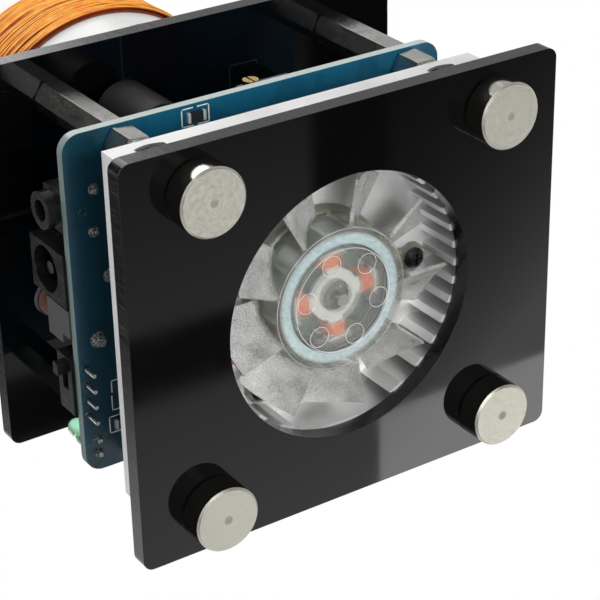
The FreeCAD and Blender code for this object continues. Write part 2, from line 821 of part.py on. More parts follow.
def make_stator_core():
    """A laminated star with four poles and curved shoes."""
    z, height = "core_front", "core_height"
    shoes = common("core_shoes",
                   ring_piece("shoe_ring", "stator_radius - shoe_thickness", "stator_radius", z,
                              height),
                   fuse("shoe_cross", *cross_boxes("shoe_bar", "shoe_width", "stator_radius", z,
                                                   height)))
    star = fuse("core_star", cylinder("core_middle", "core_ring_radius", height, z=z),
                *cross_boxes("pole_bar", "pole_width", "stator_radius - shoe_thickness / 2", z,
                             height), shoes)
    bore = cylinder("core_bore", CORE_BORE, f"{height} + 2 * overrun", z=f"{z} - overrun")
    return turn_stator(cut("stator_core", star, bore))


def insulator_half(name, z, rim_z):
    """A thin cross with a raised rim at the end of each pole."""
    height, reach = "insulator_thickness", "(stator_radius - shoe_thickness)"
    width = "(pole_width + 2 * insulator_thickness)"
    bars = cross_boxes(f"{name}_bar", width, reach, z, height)
    disc = cylinder(f"{name}_disc", "core_ring_radius", height, z=z)
    rims = common(f"{name}_rims",
                  ring_piece(f"{name}_rim", f"{reach} - insulator_thickness", reach, rim_z,
                             "insulator_rim"),
                  fuse(f"{name}_rim_cross", *cross_boxes(f"{name}_rim_bar", "shoe_width * 0.55",
                                                         reach, rim_z, "insulator_rim")))
    bore = cylinder(f"{name}_bore", CORE_BORE, "insulator_rim + 2 * overrun",
                    z=f"{rim_z} - overrun")
    return cut(name, fuse(f"{name}_cross", disc, *bars, rims), bore)


def make_stator_insulator():
    front = insulator_half("insulator_front", "core_front - insulator_thickness",
                           "core_front - insulator_rim")
    back = insulator_half("insulator_back", CORE_BACK, CORE_BACK)
    return turn_stator(group("stator_insulator", [front, back]))


def make_stator_coils():
    """A round coil on each pole, with the pole's window through it."""
    start = "(core_ring_radius + fan_coil_inset)"
    length = f"(stator_radius - shoe_thickness - insulator_thickness - fan_coil_inset - {start})"
    middle = "core_front + core_height / 2"
    blank = cylinder("coil_blank", "fan_coil_radius", length, start, "0", middle, Vector(1, 0, 0))
    window = centred_box("coil_window", f"{start} + {length} / 2", "0",
                         "core_front - insulator_thickness - fit_gap", f"{length} + 2 * overrun",
                         "pole_width + 2 * insulator_thickness + 2 * fit_gap",
                         "core_height + 2 * insulator_thickness + 2 * fit_gap")
    coil = cut("coil", blank, window)
    return turn_stator(group("stator_coils", around("coil_copy", coil, POLES)))


def make_fan_circuit():
    z = f"{BASE_FRONT} - circuit_thickness"
    return ring_piece("fan_circuit", CORE_BORE, "circuit_radius", z, "circuit_thickness")


def make_fan_base():
    """A disc with a rim, three screw ears and the holder of the bush."""
    rim = "(fan_base_radius - fan_base_rim)"
    bush_seat = f"({BUSH_RADIUS} + fit_gap)"
    disc = revolved("base_disc", [
        (bush_seat, "bush_front"), (HOLDER_RADIUS, "bush_front"), (HOLDER_RADIUS, BASE_FRONT),
        (rim, BASE_FRONT), (rim, f"{BASE_FRONT} - fan_base_rim_height"),
        ("fan_base_radius", f"{BASE_FRONT} - fan_base_rim_height"),
        ("fan_base_radius", CAVITY_FLOOR), (bush_seat, CAVITY_FLOOR)])
    arm = box("ear_arm", rim, "-fan_arm_width / 2", BASE_FRONT,
              f"fan_screw_circle - {rim}", "fan_arm_width", "fan_base_thickness")
    ear = cylinder("ear", "fan_ear_radius", "fan_base_thickness", "fan_screw_circle", "0",
                   BASE_FRONT)
    hole = cylinder("ear_hole", "fan_screw_radius + hole_gap", "fan_base_thickness + 2 * overrun",
                    "fan_screw_circle", "0", f"{BASE_FRONT} - overrun")
    arms = around("ear_copy", cut("ear_piece", fuse("ear_blank", arm, ear), hole), FAN_EARS,
                  "fan_screw_turn")
    notch = box("lead_notch", rim + " - overrun", "-lead_spacing", f"{BASE_FRONT} - overrun * 2",
                "fan_base_rim + 2 * overrun", "2 * lead_spacing", "overrun * 2")
    notch_turned = turned("lead_notch_turned", notch, 0)
    notch_turned.setExpression(".Placement.Rotation.Angle", in_sheet("lead_turn"))
    return cut("fan_base", fuse("base_with_ears", disc, *arms), notch_turned)


def make_fan_bush():
    return ring_piece("fan_bush", "shaft_radius + bush_gap", BUSH_RADIUS, "bush_front",
                      f"{CAVITY_FLOOR} - bush_front")


def make_fan_screws():
    seat = BASE_FRONT
    body = revolved("fan_screw", [
        ("0", f"{seat} - fan_screw_head_height"),
        ("fan_screw_head_radius * 0.7", f"{seat} - fan_screw_head_height"),
        ("fan_screw_head_radius", f"{seat} - fan_screw_head_height / 2"),
        ("fan_screw_head_radius", seat), ("fan_screw_radius", seat),
        ("fan_screw_radius", f"{seat} + fan_screw_length"), ("0", f"{seat} + fan_screw_length")])
    lift = f"{seat} - fan_screw_head_height - overrun"
    span, width = "fan_screw_head_radius * 1.1", "fan_screw_head_radius / 4"
    height = "overrun + fan_screw_head_height / 2"
    recess = fuse("fan_screw_recess",
                  centred_box("fan_slot_a", "0", "0", lift, span, width, height),
                  centred_box("fan_slot_b", "0", "0", lift, width, span, height))
    screw = at(cut("fan_screw_piece", body, recess), "fan_screw_circle")
    return group("fan_base_screws", around("fan_screw_copy", screw, FAN_EARS, "fan_screw_turn"))


def make_fan_lead(name, side):
    """A lead from the fan circuit, over the cavity floor and up through the heat sink."""
    turn = math.radians(value("lead_turn"))
    outward = Vector(math.cos(turn), math.sin(turn), 0)
    aside = Vector(-math.sin(turn), math.cos(turn), 0) * value("lead_spacing / 2") * side
    level = value(f"{BASE_FRONT} - lead_radius - fit_gap")
    start = outward * value("circuit_radius + fit_gap") + aside + Vector(0, 0, level)
    corner = outward * value("lead_circle") + aside + Vector(0, 0, level)
    end = Vector(corner.x, corner.y, value(BOARD_UNDER))
    path = arc_path([start, corner, end], value("lead_bend"))
    return free_form(name, tube_along(path, value("lead_radius")))


# Driver board and its parts

board_pins = []
lower_joints = []


def pin(name, x, y, top, low=BOARD_UNDER, radius="pin_radius"):
    """A round pin in the board, with its hole and the solder joint below."""
    board_pins.append(cylinder(f"{name}_way", f"{radius} + pin_gap",
                               "board_thickness + 2 * overrun", x, y,
                               f"{BOARD_UNDER} - overrun"))
    return cylinder(name, radius, f"({top}) - ({low})", x, y, low)


def joint(name, x, y, share=1.0):
    """A solder joint that tapers down from the board."""
    lower_joints.append(cone(name, f"joint_radius * {share / 2}", f"joint_radius * {share}",
                             f"joint_height * {share}", x, y,
                             f"{BOARD_UNDER} - joint_height * {share}"))


def make_circuit_board():
    body = extruded("board_sheet", "XY_Plane",
                    rectangle(f"{BOARD_LENGTH} / 2", f"{BOARD_WIDTH} / 2", "-board_shift_x",
                              "-board_shift_y"), BOARD_UNDER, "board_thickness")
    round_corners(body, "board_corner_radius")
    posts = corner_holes("board_post_holes", "stud_radius + hole_gap", BOARD_UNDER,
                         "board_thickness")
    return cut("circuit_board", body, posts, group("board_pin_holes", board_pins))


def make_audio_jack():
    """A moulded box with a round nose over the board's edge."""
    front = BOARD_FRONT
    axis_z = f"{BOARD_TOP} + audio_axis_height"
    case = box("audio_case", f"-{front}", "-audio_y - audio_width / 2", BOARD_TOP, "audio_length",
               "audio_width", "audio_height")
    nose = cylinder("audio_nose", "audio_barrel_radius", "audio_barrel_reach + audio_length / 2",
                    f"-{front} - audio_barrel_reach", "-audio_y", axis_z, Vector(1, 0, 0))
    bore = cylinder("audio_bore", "audio_bore_radius", "audio_bore_depth + overrun",
                    f"-{front} - audio_barrel_reach - overrun", "-audio_y", axis_z,
                    Vector(1, 0, 0))
    return cut("audio_jack_body", fuse("audio_solid", case, nose), bore)


def make_audio_contacts():
    """Two side tabs and a rear tab, each with a pin in the board."""
    pieces = []
    sides = (("near", "-1", "audio_length * 0.4"), ("far", "1", "audio_length * 0.36"))
    for name, sign, inset in sides:
        x = f"-{BOARD_FRONT} + {inset}"
        wall = f"-audio_y + {sign} * (audio_width / 2 + audio_tab_thickness / 2)"
        tab = centred_box(f"audio_tab_{name}", x, wall, BOARD_TOP, "audio_tab_width",
                          "audio_tab_thickness", "audio_height * 0.6")
        leg = pin(f"audio_pin_{name}", x, wall, BOARD_TOP, radius="pin_radius * 0.8")
        joint(f"audio_joint_{name}", x, wall)
        pieces += [tab, leg]
    return group("audio_jack_contacts", pieces)


DC_AXIS = f"({BOARD_TOP} + dc_axis_height)"
DC_MIDDLE = f"(dc_length / 2 - {DC_FRONT})"
POWER_JOINT_SHARE = 1.3


def make_dc_jack():
    """A square front with a round mouth and a lower rear half."""
    z = BOARD_TOP
    side = "-dc_y - dc_width / 2"
    shoulder = f"dc_flange - {DC_FRONT}"
    mouth = f"-{DC_FRONT} - overrun"
    front = box("dc_face", f"-{DC_FRONT}", side, z, "dc_flange", "dc_width", "dc_height")
    rear = box("dc_rear", shoulder, side, z, "dc_length - dc_flange", "dc_width",
               "dc_rear_height")
    barrel = cylinder("dc_barrel", "dc_width / 2", "dc_length - dc_flange", shoulder,
                      "-dc_y", DC_AXIS, Vector(1, 0, 0))
    roof = common("dc_roof", barrel,
                  box("dc_roof_bound", shoulder, side, z, "dc_length - dc_flange", "dc_width",
                      "dc_height"))
    bore = cylinder("dc_bore", "dc_bore_radius", "dc_bore_depth + overrun", mouth, "-dc_y",
                    DC_AXIS, Vector(1, 0, 0))
    pin_hole = cylinder("dc_pin_hole", "dc_pin_radius + dc_pin_shoulder", "dc_length + overrun",
                        mouth, "-dc_y", DC_AXIS, Vector(1, 0, 0))
    slot = centred_box("dc_contact_slot", DC_MIDDLE, "-dc_y", f"{z} - overrun",
                       "dc_contact_length + 2 * hole_gap", "dc_contact_width + 2 * hole_gap",
                       "dc_axis_height - dc_bore_radius / 2 + overrun")
    return cut("dc_jack_body", fuse("dc_solid", front, rear, roof), bore, pin_hole, slot)


def make_dc_pin():
    """The centre pin, with a thicker root in the rear wall."""
    free = cylinder("dc_pin_free", "dc_pin_radius", "dc_length - dc_pin_inset",
                    f"dc_pin_inset - {DC_FRONT}", "-dc_y", DC_AXIS, Vector(1, 0, 0))
    root = cylinder("dc_pin_root", "dc_pin_radius + dc_pin_shoulder",
                    "dc_length - dc_bore_depth", f"dc_bore_depth - {DC_FRONT}", "-dc_y", DC_AXIS,
                    Vector(1, 0, 0))
    return fuse("dc_jack_pin", free, root)


def make_dc_contacts():
    """The sprung side contact and the two board tabs."""
    leaf = centred_box("dc_leaf", DC_MIDDLE, "-dc_y",
                       f"{DC_AXIS} - dc_bore_radius - dc_contact_thickness",
                       "dc_contact_length", "dc_contact_width", "dc_contact_thickness")
    stem = centred_box("dc_stem", DC_MIDDLE, "-dc_y", BOARD_TOP,
                       "dc_contact_thickness * 2", "dc_contact_width / 2",
                       "dc_axis_height - dc_bore_radius - dc_contact_thickness / 2")
    rear = f"dc_length - {DC_FRONT} + pin_radius + pin_gap"
    legs = [pin("dc_pin_mid", DC_MIDDLE, "-dc_y", BOARD_TOP),
            pin("dc_pin_rear", rear, "-dc_y", f"{DC_AXIS} + dc_pin_radius + dc_pin_shoulder")]
    joint("dc_joint_mid", DC_MIDDLE, "-dc_y", POWER_JOINT_SHARE)
    joint("dc_joint_rear", rear, "-dc_y", POWER_JOINT_SHARE)
    return group("dc_jack_contacts", [fuse("dc_spring", leaf, stem)] + legs)


def make_lamp():
    """A round-nosed indicator lamp."""
    z = f"({BOARD_TOP} + lamp_lift)"
    shoulder = f"{z} + lamp_height - lamp_radius"
    post = revolved("lamp_post", [
        ("0", z), ("lamp_flange_radius", z), ("lamp_flange_radius", f"{z} + lamp_flange_height"),
        ("lamp_radius", f"{z} + lamp_flange_height"), ("lamp_radius", shoulder),
        ("0", shoulder)])
    dome = doc.addObject("Part::Sphere", "lamp_dome")
    bind(at(dome, z=shoulder), Radius="lamp_radius")
    return at(fuse("indicator_lamp", post, dome), f"-{LAMP_X}", "lamp_y")


def make_lamp_legs():
    pieces = []
    for side in (-1, 1):
        y = f"lamp_y + {side / 2} * lamp_leg_spacing"
        name = f"lamp_leg_{'near' if side < 0 else 'far'}"
        leg = centred_box(name, f"-{LAMP_X}", y, BOARD_UNDER, "lamp_leg_width", "lamp_leg_width",
                          "board_thickness + lamp_lift")
        board_pins.append(cylinder(f"{name}_way", "lamp_leg_width",
                                   "board_thickness + 2 * overrun", f"-{LAMP_X}", y,
                                   f"{BOARD_UNDER} - overrun"))
        joint(f"{name}_joint", f"-{LAMP_X}", y, 0.9)
        pieces.append(leg)
    return group("lamp_legs", pieces)


SWITCH_AXIS = f"({BOARD_TOP} + switch_height / 2)"
LEVER_START = "(switch_start + switch_wall + slide_gap)"


def make_switch_body():
    """A black box with a track inside and a slot for the lever."""
    case = box("switch_case", f"-{SWITCH_FRONT}", "switch_start", BOARD_TOP, "switch_depth",
               "switch_length", "switch_height")
    track = box("switch_track", f"switch_wall - {SWITCH_FRONT}", "switch_start + switch_wall",
                f"{SWITCH_AXIS} - switch_slot_height / 2 - switch_wall",
                "lever_base_depth + 2 * slide_gap",
                "lever_base_width + switch_travel + 2 * slide_gap",
                "switch_slot_height + 2 * switch_wall")
    slot = box("switch_slot", f"-{SWITCH_FRONT} - overrun", f"{LEVER_START}",
               f"{SWITCH_AXIS} - switch_slot_height / 2", "switch_wall + 2 * overrun",
               "lever_width + switch_travel + 2 * slide_gap", "switch_slot_height")
    return cut("switch_body", case, track, slot)


def make_switch_lever():
    """A finger on a base that slides in the track."""
    base = box("lever_base", f"switch_wall + slide_gap - {SWITCH_FRONT}", LEVER_START,
               f"{SWITCH_AXIS} - switch_slot_height / 2 - switch_wall + slide_gap",
               "lever_base_depth", "lever_base_width",
               "switch_slot_height + 2 * switch_wall - 2 * slide_gap")
    finger = box("lever_finger", f"-{SWITCH_FRONT} - lever_reach", f"{LEVER_START} + slide_gap",
                 f"{SWITCH_AXIS} - switch_slot_height / 2 + slide_gap",
                 "lever_reach + switch_wall + 2 * slide_gap", "lever_width",
                 "switch_slot_height - 2 * slide_gap")
    return fuse("switch_lever", base, finger)


def make_switch_pins():
    """Four long pins that stand out below the board."""
    pieces = []
    for number in range(4):
        y = f"switch_start + switch_pin_first + {number} * switch_pin_pitch"
        x = f"switch_pin_inset - {SWITCH_FRONT}"
        pieces.append(pin(f"switch_pin_{number}", x, y, BOARD_TOP,
                          f"{BOARD_UNDER} - switch_pin_drop"))
    return group("switch_pins", pieces)


def make_choke_core():
    """A square base, a round post and a round flange."""
    z = BOARD_TOP
    base = centred_box("choke_base", f"-{CHOKE_X}", "choke_y", z, "choke_base_width",
                       "choke_base_width", "choke_base_height")
    recess = box("choke_recess_cut", f"-{CHOKE_X} - choke_base_width / 2 - overrun",
                 "choke_y + choke_recess", f"{z} - overrun", "choke_recess + overrun",
                 "choke_base_width", "choke_recess * 1.6 + overrun")
    post = cylinder("choke_post", "choke_core_radius",
                    "choke_winding_height + choke_flange_height + fit_gap", f"-{CHOKE_X}", "choke_y",
                    f"{z} + choke_base_height")
    flange = cylinder("choke_flange", "choke_flange_radius", "choke_flange_height", f"-{CHOKE_X}",
                      "choke_y", f"{z} + choke_base_height + choke_winding_height + 2 * fit_gap")
    return cut("choke_core", fuse("choke_solid", base, post, flange), recess)


def make_choke_winding():
    z = f"{BOARD_TOP} + choke_base_height + fit_gap"
    winding = ring_piece("choke_winding", "choke_core_radius + fit_gap", "choke_winding_radius",
                         z, "choke_winding_height")
    joint("choke_joint", f"-{CHOKE_X} + choke_recess / 2", "choke_y + choke_recess * 1.3", 1.5)
    return at(winding, f"-{CHOKE_X}", "choke_y")


def make_capacitor_can():
    """The aluminium can with its rolled groove."""
    skin = "(can_radius - can_sleeve - fit_gap)"
    z = BOARD_TOP
    groove = f"{z} + can_seal_height + can_groove_height"
    can = revolved("capacitor_can", [
        ("0", f"{z} + can_seal_height"), (skin, f"{z} + can_seal_height"),
        (skin, groove), (f"{skin} - can_groove", f"{groove} + can_groove"),
        (skin, f"{groove} + can_groove * 2"), (skin, f"{z} + can_height - can_sleeve - fit_gap"),
        ("0", f"{z} + can_height - can_sleeve - fit_gap")])
    return at(can, f"-{CAN_X}", f"-{CAN_Y}")


def make_capacitor_sleeve():
    """The black sleeve, shrunk into the groove and over both ends."""
    z = BOARD_TOP
    low, top = f"{z} + can_seal_height", f"{z} + can_height"
    groove = f"{z} + can_seal_height + can_groove_height"
    inner = "(can_radius - can_sleeve)"
    sleeve = revolved("capacitor_sleeve", [
        (inner, low), ("can_radius", low), ("can_radius", groove),
        ("can_radius - can_groove", f"{groove} + can_groove"),
        ("can_radius", f"{groove} + can_groove * 2"), ("can_radius", f"{top} - can_sleeve"),
        ("can_radius - can_sleeve", top), ("can_radius - can_lip", top),
        ("can_radius - can_lip", f"{top} - can_sleeve"), (inner, f"{top} - can_sleeve"),
        (inner, f"{groove} + can_groove * 2"),
        (f"{inner} - can_groove", f"{groove} + can_groove"), (inner, groove)])
    return at(sleeve, f"-{CAN_X}", f"-{CAN_Y}")


def make_capacitor_seal():
    seal = cylinder("seal_blank", "can_radius - can_sleeve - fit_gap", "can_seal_height",
                    f"-{CAN_X}", f"-{CAN_Y}", BOARD_TOP)
    ways = [cylinder(f"seal_way_{side}", "pin_radius + pin_gap", "can_seal_height + 2 * overrun",
                     f"-{CAN_X} + {side - 0.5} * can_lead_spacing", f"-{CAN_Y}",
                     f"{BOARD_TOP} - overrun") for side in (0, 1)]
    return cut("capacitor_seal", seal, group("seal_ways", ways))


def make_capacitor_leads():
    pieces = []
    for side in (0, 1):
        x = f"-{CAN_X} + {side - 0.5} * can_lead_spacing"
        pieces.append(pin(f"can_lead_{side}", x, f"-{CAN_Y}", f"{BOARD_TOP} + can_seal_height"))
        joint(f"can_joint_{side}", x, f"-{CAN_Y}")
    return group("capacitor_leads", pieces)


TRIMMER_AXIS = f"({BOARD_TOP} + trimmer_screw_lift)"


def make_trimmer_body():
    """A flat block with a bore for the adjusting screw."""
    case = box("trimmer_case", "-trimmer_start", f"-{TRIMMER_FRONT}", BOARD_TOP, "trimmer_length",
               "trimmer_depth", "trimmer_height")
    bore = cylinder("trimmer_bore", "trimmer_shank_radius + fit_gap",
                    "trimmer_shank_length + fit_gap + overrun", "-trimmer_screw_x",
                    f"-{TRIMMER_FRONT} - overrun", TRIMMER_AXIS, Vector(0, 1, 0))
    return cut("trimmer_body", case, bore)


def make_trimmer_screw():
    """A slotted brass head on a shank."""
    face = f"-{TRIMMER_FRONT} - trimmer_screw_reach"
    head = cylinder("trimmer_head", "trimmer_screw_radius", "trimmer_screw_reach - fit_gap",
                    "-trimmer_screw_x", face, TRIMMER_AXIS, Vector(0, 1, 0))
    shank = cylinder("trimmer_shank", "trimmer_shank_radius",
                     "trimmer_screw_reach + trimmer_shank_length", "-trimmer_screw_x", face,
                     TRIMMER_AXIS, Vector(0, 1, 0))
    slot = centred_box("trimmer_slot", "-trimmer_screw_x",
                       f"{face} + trimmer_slot_depth / 2 - overrun / 2",
                       f"{TRIMMER_AXIS} - trimmer_screw_radius - overrun", "trimmer_slot_width",
                       "trimmer_slot_depth + overrun", "2 * trimmer_screw_radius + 2 * overrun")
    return cut("trimmer_screw", fuse("trimmer_turned", head, shank), slot)


def make_film_capacitors():
    """Two box capacitors on small feet, in line."""
    pieces = []
    for name, side in (("near", "-1"), ("far", "1")):
        y = f"{side} * film_y"
        case = centred_box(f"film_case_{name}", "film_x", y, BOARD_TOP, "film_width",
                           "film_length", "film_height")
        relief = centred_box(f"film_relief_{name}", "film_x", y, f"{BOARD_TOP} - overrun",
                             "film_width + 2 * overrun", "film_length - 2 * film_foot",
                             "film_foot + overrun")
        pieces.append(cut(f"film_capacitor_{name}", case, relief))
    return group("film_capacitors", pieces)


def make_film_leads():
    pieces = []
    for name, side in (("near", "-1"), ("far", "1")):
        for end in (-1, 1):
            y = f"{side} * film_y + {end / 2} * film_lead_spacing"
            label = f"film_lead_{name}_{end + 1}"
            pieces.append(pin(label, "film_x", y, f"{BOARD_TOP} + film_foot"))
            joint(f"{label}_joint", "film_x", y)
    return group("film_capacitor_leads", pieces)


CHIP_PLACES = ((f"first_chip_inset - {BOARD_FRONT}", f"first_chip_edge - {BOARD_SIDE}"),
               (f"second_chip_inset - {BOARD_FRONT}",
                f"{BOARD_WIDTH} / 2 - board_shift_y - second_chip_edge"))


def make_chip_bodies():
    pieces = [centred_box(f"chip_{i}", x, y, f"{BOARD_UNDER} - chip_height",
                          "chip_length - 2 * chip_end", "chip_width", "chip_height")
              for i, (x, y) in enumerate(CHIP_PLACES)]
    return group("chip_resistors", pieces)


def make_chip_ends():
    pieces = []
    for i, (x, y) in enumerate(CHIP_PLACES):
        for side in (-1, 1):
            end = f"{x} + {side / 2} * (chip_length - chip_end)"
            pieces.append(centred_box(f"chip_end_{i}_{side + 1}", end, y,
                                      f"{BOARD_UNDER} - chip_height", "chip_end", "chip_width",
                                      "chip_height"))
    return group("chip_terminals", pieces)


# Power transistor on the back of the heat sink

POWER_SEAT = f"({SINK_TOP} + power_pad_thickness)"
POWER_END = "(power_tab_length - power_hole_inset - power_y)"


def make_insulating_pad():
    start = "-power_y - power_hole_inset - hole_gap"
    pad = centred_box("pad_blank", "power_x", f"{start} + (power_tab_length + 2 * hole_gap) / 2",
                      SINK_TOP, "power_width + 2 * hole_gap", "power_tab_length + 2 * hole_gap",
                      "power_pad_thickness")
    hole = cylinder("pad_hole", "stud_radius + hole_gap", "power_pad_thickness + 2 * overrun",
                    "power_x", "-power_y", f"{SINK_TOP} - overrun")
    return cut("insulating_pad", pad, hole)


def make_power_transistor():
    """A metal tab with a hole and a thicker moulded body."""
    tab = centred_box("power_tab", "power_x",
                      "power_tab_length / 2 - power_hole_inset - power_y", POWER_SEAT,
                      "power_width", "power_tab_length", "power_tab_thickness")
    mould = centred_box("power_mould", "power_x", f"{POWER_END} - power_body_length / 2",
                        POWER_SEAT, "power_width", "power_body_length", "power_body_height")
    hole = cylinder("power_hole", "stud_radius + hole_gap", "power_tab_thickness + 2 * overrun",
                    "power_x", "-power_y", f"{POWER_SEAT} - overrun")
    legs = []
    for side in (-1, 0, 1):
        x = f"power_x + {side} * power_leg_pitch"
        run = centred_box(f"power_run_{side + 1}", x,
                          f"{POWER_END} + power_leg_run / 2 - power_leg_thickness",
                          f"{POWER_SEAT} + power_leg_lift", "power_leg_width",
                          "power_leg_run + 2 * power_leg_thickness", "power_leg_thickness")
        rise = centred_box(f"power_rise_{side + 1}", x,
                           f"{POWER_END} + power_leg_run - power_leg_thickness / 2",
                           f"{POWER_SEAT} + power_leg_lift", "power_leg_width",
                           "power_leg_thickness",
                           f"{BOARD_TOP} - {POWER_SEAT} - power_leg_lift")
        legs += [run, rise]
        board_pins.append(cylinder(f"power_way_{side + 1}", "power_leg_width * 0.7",
                                   "board_thickness + 2 * overrun", x,
                                   f"{POWER_END} + power_leg_run - power_leg_thickness / 2",
                                   f"{BOARD_UNDER} - overrun"))
    return cut("power_transistor", fuse("power_solid", tab, mould, *legs), hole)


def make_power_screw():
    screw = pan_head("transistor_screw",
                     "power_tab_thickness + power_pad_thickness + power_screw_depth")
    return at(screw, "power_x", "-power_y", f"{POWER_SEAT} + power_tab_thickness")


# Coil tube, windings and discharge needle

def lead_place(wire, bend, angle, side):
    """Where the straight run of a winding's lead crosses the plates."""
    x = f"{INNER_RUN} * cos({angle}) - {side} * {bend} * sin({angle})"
    y = f"{INNER_RUN} * sin({angle}) + {side} * {bend} * cos({angle})"
    return x, y


LEAD_DROPS = (("winding_wire", "winding_bend", SECONDARY_ANGLE, -1),
              ("primary_wire", "primary_bend", PRIMARY_ANGLE, -1),
              ("primary_wire", "primary_bend", PRIMARY_ANGLE, 1))


def biarc(start, start_way, end, end_way):
    """Two arcs that join two points in two given directions."""
    chord = end - start
    ways = start_way + end_way
    spread = 2 * (1 - start_way.dot(end_way))
    mix = chord.dot(ways)
    reach = (math.sqrt(mix * mix + spread * chord.dot(chord)) - mix) / spread
    first = start + start_way * reach
    second = end - end_way * reach
    middle = (first + second) * 0.5

    def arc(a, corner, b):
        weight = a.distanceToPoint(b) / (2 * reach)
        top = (a + corner * (2 * weight) + b) * (1 / (2 + 2 * weight))
        return Part.Arc(a, top, b).toShape()

    return [arc(start, first, middle), arc(middle, second, end)]


def winding_edges(radius, pitch, turns, start_z, first_angle):
    """A helix of quarter turns, each of two arcs, with its two end directions."""
    slope = pitch / (2 * math.pi * radius)

    def spot(turn):
        angle = math.radians(first_angle) + 2 * math.pi * turn
        return Vector(radius * math.cos(angle), radius * math.sin(angle), start_z + pitch * turn)

    def way(turn):
        angle = math.radians(first_angle) + 2 * math.pi * turn
        return Vector(-math.sin(angle), math.cos(angle), slope).normalize()

    edges = []
    quarters = [number / 4 for number in range(4 * turns + 1)]
    for a, b in zip(quarters, quarters[1:]):
        edges += biarc(spot(a), way(a), spot(b), way(b))
    return edges, (spot(0), way(0) * -1), (spot(turns), way(turns))


def lead_in(end, bend, run_radius, level):
    """From a winding's end, in through the tube wall and straight up or down to a level."""
    here, way = end
    inward = Vector(-here.x, -here.y, 0).normalize()
    turned_in = here + (inward + way) * bend
    middle = here + inward * bend + (way - inward) * (bend * math.sqrt(0.5))
    edges = [Part.Arc(here, middle, turned_in).toShape()]
    radial = math.hypot(here.x, here.y)
    corner_start = turned_in + inward * (radial - bend - run_radius - bend)
    up = Vector(0, 0, 1 if level > here.z else -1)
    corner_end = corner_start + (inward + up) * bend
    corner_mid = corner_start + up * bend + (inward - up) * (bend * math.sqrt(0.5))
    edges.append(Part.LineSegment(turned_in, corner_start).toShape())
    edges.append(Part.Arc(corner_start, corner_mid, corner_end).toShape())
    edges.append(Part.LineSegment(corner_end, Vector(corner_end.x, corner_end.y, level)).toShape())
    return edges


def own_gap(wire, diameter):
    """The least gap between parts of a tube that lie more than a few diameters apart along it."""
    steps = int(wire.Length / diameter)
    points = wire.discretize(Number=steps + 1)
    skip = 6
    least = min((a - b).Length for i, a in enumerate(points) for b in points[i + skip:])
    return least - diameter


def make_winding(name, wire_word, bend_word, radius, pitch, turns, start_z, angle, end_level):
    """One unbroken tube: up from the board, round the former and in again."""
    edges, start, end = winding_edges(value(radius), value(pitch), turns, value(start_z), angle)
    bend, run = value(bend_word), value(INNER_RUN)
    lower = lead_in(start, bend, run, value(BOARD_TOP))
    upper = lead_in(end, bend, run, value(end_level))
    path = Part.Wire(Part.__sortEdges__(list(reversed(lower)) + edges + upper))
    diameter = value(wire_word)
    print(name, "least gap to itself", round(own_gap(path, diameter), 3), "mm")
    return free_form(name, tube_along(path, diameter / 2))


SECONDARY_RADIUS = "(tube_radius + winding_gap + winding_wire / 2)"
PRIMARY_RADIUS = "(tube_radius + primary_gap + primary_wire / 2)"


def make_secondary_winding():
    return make_winding("secondary_winding", "winding_wire", "winding_bend", SECONDARY_RADIUS,
                        "winding_pitch", SECONDARY_TURNS, f"{DECK_TOP} + winding_start",
                        SECONDARY_ANGLE, f"{TUBE_TOP} - cap_plug")


def make_primary_winding():
    return make_winding("primary_winding", "primary_wire", "primary_bend", PRIMARY_RADIUS,
                        "primary_pitch", PRIMARY_TURNS, f"{DECK_TOP} + base_ring_height + primary_lift",
                        PRIMARY_ANGLE, BOARD_TOP)


def lead_slot(name, wire, bend, angle, side, z):
    """A short slot in the tube wall where a winding's end goes in."""
    slot = box(name, f"{TUBE_BORE} - overrun",
               f"{side} * ({bend} / 2 + {wire} / 2 + hole_gap) - ({bend} / 2 + {wire} / 2)",
               f"{z} - {wire} / 2 - hole_gap", "tube_wall + 2 * overrun",
               f"{bend} + {wire}", f"{wire} + 2 * hole_gap")
    return turned(f"{name}_turned", slot, angle)


def make_coil_former():
    z = DECK_TOP
    wall = ring_piece("former_wall", TUBE_BORE, "tube_radius", z, "tube_height")
    low = f"({z} + winding_start)"
    high = f"({low} + winding_pitch * {SECONDARY_TURNS})"
    first = f"({z} + base_ring_height + primary_lift)"
    last = f"({first} + primary_pitch * {PRIMARY_TURNS})"
    slots = [lead_slot("slot_a", "winding_wire", "winding_bend", SECONDARY_ANGLE, -1, low),
             lead_slot("slot_b", "winding_wire", "winding_bend", SECONDARY_ANGLE, 1, high),
             lead_slot("slot_c", "primary_wire", "primary_bend", PRIMARY_ANGLE, -1, first),
             lead_slot("slot_d", "primary_wire", "primary_bend", PRIMARY_ANGLE, 1, last)]
    return cut("coil_former", wall, group("former_slots", slots))


def make_base_ring():
    outer = f"{TUBE_BORE} - fit_gap"
    ring = ring_piece("base_ring_blank", f"{TUBE_BORE} - base_ring_width", outer, DECK_TOP,
                      "base_ring_height")
    hole = cylinder("base_ring_hole", "stud_radius + thread_gap",
                    "base_screw_grip + hole_gap + overrun", BASE_SCREW_CIRCLE, "0",
                    f"{DECK_TOP} - overrun")
    return cut("former_base_ring", ring, group("base_ring_holes",
                                               around("base_ring_hole", hole, 3)))


def make_base_ring_screws():
    screw = pan_head("base_ring_screw", "plate_thickness + base_screw_grip", down=False)
    at(screw, BASE_SCREW_CIRCLE, "0", DECK_UNDER)
    return group("base_ring_screws", around("base_ring_screw_copy", screw, 3))


